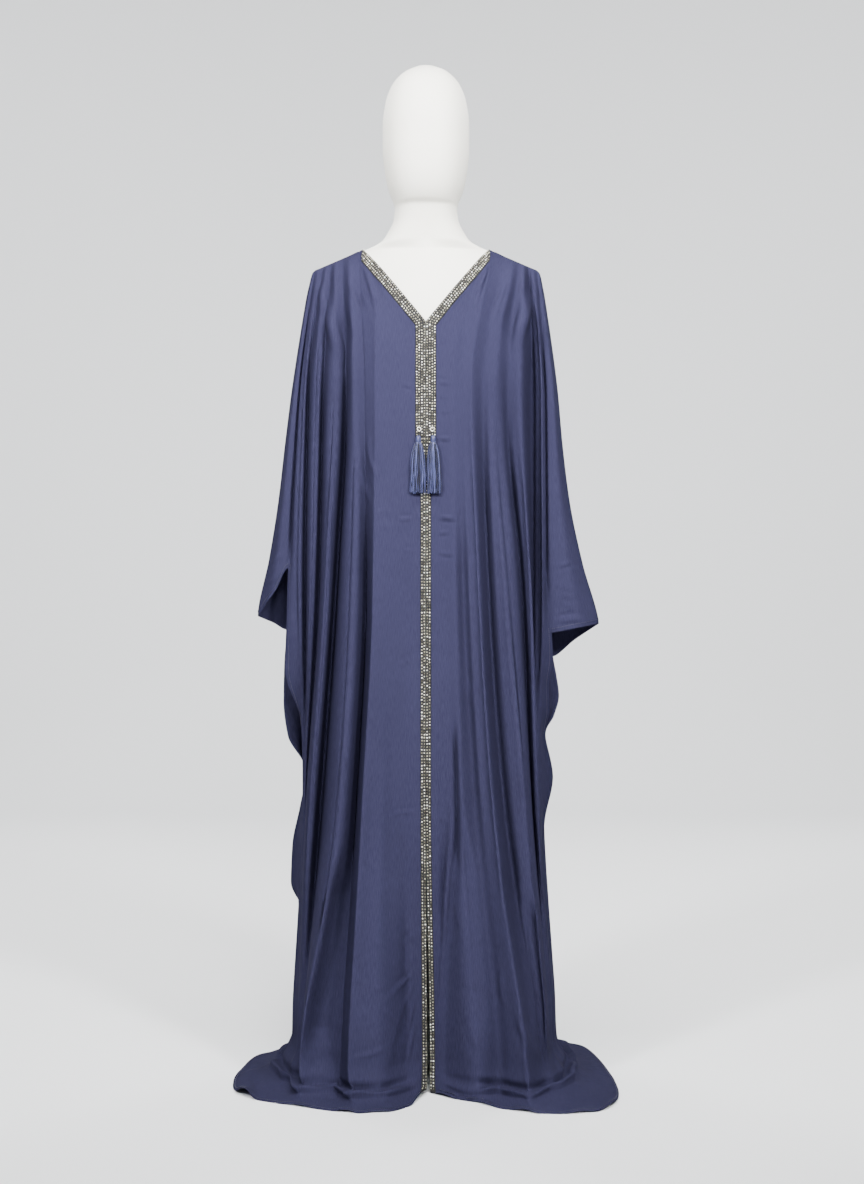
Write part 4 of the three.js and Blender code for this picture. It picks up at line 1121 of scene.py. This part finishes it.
TASSEL_X = 12.5
TASSEL_LENGTH = 98.0
TASSEL_TOP = PLACKET_END_Z + 3
TASSEL_SPREAD = 12.8
TASSEL_DEPTH = 3.4
TASSEL_FLAT = 0.8
TASSEL_ASIDE = 1.2         # how far its tip swings outwards
CAP_PROFILE = [(0.4, 0), (2.2, 0.5), (3.5, 1.9), (4.2, 4.4), (4.4, 7.5), (4.3, 10.5), (3.6, 11.6),
               (3.3, 12.4), (3.7, 13.2), (3.4, 14.2)]
CAP_SIDES = 20
CAP_SHADE = 0.5
CAP_RIDGE = 0.025          # depth of the fine ridges round the cap
CAP_RADIUS = 4.6
THREADS = 110
THREAD_RADIUS = 0.62
THREAD_TAPER = 0.25
THREAD_SIDES = 4
THREAD_STEPS = 14
THREAD_ROOT = dict(down=9.0, wide=3.0, deep=2.2)     # where the threads start inside the cap
THREAD_UNEVEN = 4.5
THREAD_WAVE = 1.6
THREAD_WAVE_TURN = 7       # radians of the wave over a thread
THREAD_FLARE = 5           # the higher, the nearer to the cap the threads spread
THREAD_PAINTED_DARK = 1.8          # the higher, the more threads are dark: painted shade between the threads
TRIM_CLEAR = 0.3
TRIM_FACE = 2.9            # from the middle of the gown's wall to the face of the trim
GOLDEN_TURN = 2.399963


def ring_mesh(name, rings):
    """A closed skin through rings of equal size: an array of rings, points and millimetres."""
    count, size = rings.shape[:2]
    faces = [(k * size + i, k * size + (i + 1) % size, (k + 1) * size + (i + 1) % size, (k + 1) * size + i)
             for k in range(count - 1) for i in range(size)]
    faces.append(tuple(range(size))[::-1])
    faces.append(tuple((count - 1) * size + i for i in range(size)))
    return outside_out(mesh_piece(name, rings, faces))


def tassel_centre(side):
    panel = panels["front", "right" if side > 0 else "left"]
    strip = panel["points"][:panel["strip"] + 1, PLACKET_ROWS, 1].min()
    return np.array([side * TASSEL_X, strip - TRIM_FACE - TRIM_CLEAR - TASSEL_FLAT * CAP_RADIUS, TASSEL_TOP])


def tassel_cap(name, side):
    centre = tassel_centre(side)
    turn = np.linspace(0, math.tau, CAP_SIDES, endpoint=False)
    ridges = 1 + CAP_RIDGE * np.cos(turn * CAP_SIDES / 2)
    rings = np.array([[centre + (r * k * math.cos(a), r * k * TASSEL_FLAT * math.sin(a), -down)
                       for a, k in zip(turn, ridges)] for r, down in CAP_PROFILE])
    cap = ring_mesh(f"tassel_cap_{name}", rings)
    give_tones(cap, [CAP_SHADE] * len(cap.data.vertices))
    return declare(cap, THREAD, "tassel_thread", f"tassel_{name}")


def tassel_threads(name, side):
    """Fine threads that hang from inside the cap, each a thin square tube with a slight wave."""
    centre = tassel_centre(side)
    share = np.linspace(0, 1, THREAD_STEPS + 1)[None, :]
    number = np.arange(THREADS)[:, None]
    turn = number * GOLDEN_TURN
    reach = np.sqrt((number + 0.5) / THREADS)
    uneven = np.array([[random.uniform(0, THREAD_UNEVEN)] for _ in range(THREADS)])
    length = TASSEL_LENGTH - THREAD_ROOT["down"] - uneven
    wave = np.array([[random.uniform(-THREAD_WAVE, THREAD_WAVE), random.uniform(0, math.tau)]
                     for _ in range(THREADS)])
    spread = 1 - (1 - share) ** THREAD_FLARE
    sway = wave[:, :1] * np.sin(share * THREAD_WAVE_TURN + wave[:, 1:]) * share
    wide = mix(THREAD_ROOT["wide"], TASSEL_SPREAD, spread)
    deep = mix(THREAD_ROOT["deep"], TASSEL_DEPTH, spread)
    x = reach * np.cos(turn) * wide + side * TASSEL_ASIDE * share + sway
    y = reach * np.sin(turn) * deep + front_lean() * share
    z = -THREAD_ROOT["down"] - length * share
    path = np.stack([x, y, z], axis=2) + centre
    corner = np.linspace(0, math.tau, THREAD_SIDES, endpoint=False)[None, None, :] + turn[:, :, None]
    radius = THREAD_RADIUS * (1 - THREAD_TAPER * share[:, :, None])
    ring = np.stack([np.cos(corner) * radius, np.sin(corner) * radius, 0 * corner * radius], axis=3)
    rings = THREAD_STEPS + 1
    first = np.arange(THREADS)[:, None, None] * rings + np.arange(THREAD_STEPS)[None, :, None]
    first = first * THREAD_SIDES
    i = np.arange(THREAD_SIDES)[None, None, :]
    j = (i + 1) % THREAD_SIDES
    faces = np.stack([first + i, first + j, first + THREAD_SIDES + j, first + THREAD_SIDES + i], axis=3)
    piece = mesh_piece(f"tassel_threads_{name}", path[:, :, None] + ring, faces.reshape(-1, 4).tolist())
    # Random tone of each thread; the many near-black ones are painted shade between the threads
    tones = [random.random() ** THREAD_PAINTED_DARK for _ in range(THREADS)]
    give_tones(piece, np.repeat(tones, rings * THREAD_SIDES))
    return declare(outside_out(piece), THREAD, "tassel_thread", f"tassel_{name}")


def front_lean():
    """How far the opening edge leans out over the length of a tassel."""
    opening = fold_line(FoldLine(*RIGHT_FRONT[0]), "front")
    ends = opening["out"](np.array([PLACKET_END_Z, PLACKET_END_Z - TASSEL_LENGTH]))
    return ends[0] - ends[1] - 1


for name, side in SIDES.items():
    tassel_cap(name, side)
    tassel_threads(name, side)


# Dress form and stand

FORM_SIDES = 96
FORM_CELLS = 5
CROWN_RINGS = (0.35, 0.7, 0.96)     # of the cap on the head, as shares of the way to its middle


def form_ring(half, front, back, z, shared):
    turn = np.linspace(0, math.tau, FORM_SIDES, endpoint=False)
    x = half * np.cos(turn)
    depth = (1 - np.abs(np.cos(turn)) ** FORM_POWER) ** (1 / FORM_POWER)
    if shared:
        depth = depth * shoulder_share(x, z)
    return np.stack([x, depth * np.where(np.sin(turn) > 0, back, -front), np.full(FORM_SIDES, z)], axis=1)


def dress_form():
    """The bust, neck and blank head in one closed skin."""
    rings = [form_ring(half, front, back, z, False) for z, half, front, back in FORM_BODY]
    rings += [form_ring(half, FORM_FRONT, FORM_BACK, z, True) for z, half in FORM_SHOULDER]
    rings += [form_ring(ridge_half(z), FORM_FRONT, FORM_BACK, z, True) for z in FORM_RIDGE]
    rings += [form_ring(half, front, back, z, False) for z, half, front, back in FORM_HEAD]
    rings = np.array(rings)
    fine = smooth_through(np.arange(len(rings)), rings, fine_places([FORM_CELLS] * (len(rings) - 1)))
    crown = fine[-1].mean(axis=0)
    caps = [mix(fine[-1], crown, share) for share in CROWN_RINGS]
    return declare(ring_mesh("form_shell", np.concatenate([fine, caps])), SHELL, "form_shell", "dress_form")


dress_form()
for node in ("form_pole", "form_base"):
    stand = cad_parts[node]
    for place in stand.material_slots:
        place.material = STEEL


# Stage, light and camera

CAMERA_DISTANCE = 3.6
CAMERA_HEIGHT = 0.835
CAMERA_SIDE = 0.0104
IMAGE_HEIGHT_PX = 1184
FOCAL_PX = 2077
SENSOR = 36.0
FLOOR_FRONT = -6.0
WALL_Y = 5.6
WALL_BEND = 1.4
WALL_TOP = 6.5
STAGE_HALF = 10.0
STAGE_CELLS = 60
SWEEP = (0.4, 0.7)         # shares of the stage's rows where the floor ends and the wall begins
FRONT_SPREAD = math.radians(75)
# Name, place, target, size and power of each light
FRONT_LIGHTS = [
    ("key", (0.3, -3.2, 2.5), (0, 0.2, 1.5), (0.7, 0.7), 26),
    ("right", (1.5, -2.9, 2.6), (0, 0.2, 1.4), (0.45, 0.6), 42),
    ("left", (-1.7, -2.8, 2.6), (0, 0.2, 1.4), (0.45, 0.6), 38),
]
OTHER_LIGHTS = [
    ("top", (0, -1.2, 3.8), (0, 0.3, 0.6), (1.6, 1.2), 120),
    ("wall right", (2.6, 2.4, 3.6), (1.6, WALL_Y, 1.3), (2.4, 1.4), 105),
    ("wall left", (-2.6, 2.4, 3.6), (-1.6, WALL_Y, 1.3), (2.4, 1.4), 105),
    ("back right", (2.2, 3.0, 3.0), (0, 0, 1.0), (1.2, 1.2), 75),
    ("back left", (-2.2, 3.0, 3.0), (0, 0, 1.0), (1.2, 1.2), 75),
    ("floor front", (0, -4.6, 4.2), (0, -5.4, 0), (5.0, 1.5), 160),
]


def make_camera():
    data = bpy.data.cameras.new("view")
    data.sensor_fit = "VERTICAL"
    data.sensor_height = SENSOR
    data.lens = FOCAL_PX / IMAGE_HEIGHT_PX * SENSOR
    data.clip_start = 0.05
    camera = put_in_scene("view", data)
    camera.location = (AXIS.x + CAMERA_SIDE, AXIS.y - CAMERA_DISTANCE, CAMERA_HEIGHT)
    camera.rotation_euler = (math.pi / 2, 0, 0)
    bpy.context.scene.camera = camera


def make_stage():
    """A pale floor that sweeps up, well behind the stand, into a pale wall."""
    bm = bmesh.new()
    bmesh.ops.create_grid(bm, x_segments=1, y_segments=STAGE_CELLS, size=1)
    for vert in bm.verts:
        along = (vert.co.y + 1) / 2
        x = vert.co.x * STAGE_HALF
        if along < SWEEP[0]:
            vert.co = (x, mix(FLOOR_FRONT, WALL_Y - WALL_BEND, along / SWEEP[0]), 0)
        elif along < SWEEP[1]:
            turn = (along - SWEEP[0]) / (SWEEP[1] - SWEEP[0]) * math.pi / 2
            vert.co = (x, WALL_Y - WALL_BEND + WALL_BEND * math.sin(turn), WALL_BEND * (1 - math.cos(turn)))
        else:
            vert.co = (x, WALL_Y, mix(WALL_BEND, WALL_TOP, (along - SWEEP[1]) / (1 - SWEEP[1])))
    stage = smooth_object("stage", bm)
    material, tree, shader = node_material("stage paper")
    fill(tree, shader, {"Base Color": (0.86, 0.872, 0.885, 1), "Roughness": 0.9})
    stage.data.materials.append(material)


def area_light(name, place, target, size, power):
    data = bpy.data.lights.new(name, "AREA")
    data.shape = "RECTANGLE"
    data.size, data.size_y = size
    data.energy = power
    light = put_in_scene(name, data)
    light.location = place
    light.rotation_euler = (Vector(target) - Vector(place)).to_track_quat("-Z", "Y").to_euler()


def make_light():
    world = bpy.data.worlds.new("studio")
    bpy.context.scene.world = world
    world.use_nodes = True
    background = world.node_tree.nodes["Background"]
    background.inputs[0].default_value = (0.95, 0.97, 1.0, 1)
    background.inputs[1].default_value = 0.16
    for settings in FRONT_LIGHTS + OTHER_LIGHTS:
        area_light(*settings)
    for name, *settings in FRONT_LIGHTS:
        bpy.data.lights[name].spread = FRONT_SPREAD


make_camera()
make_stage()
make_light()
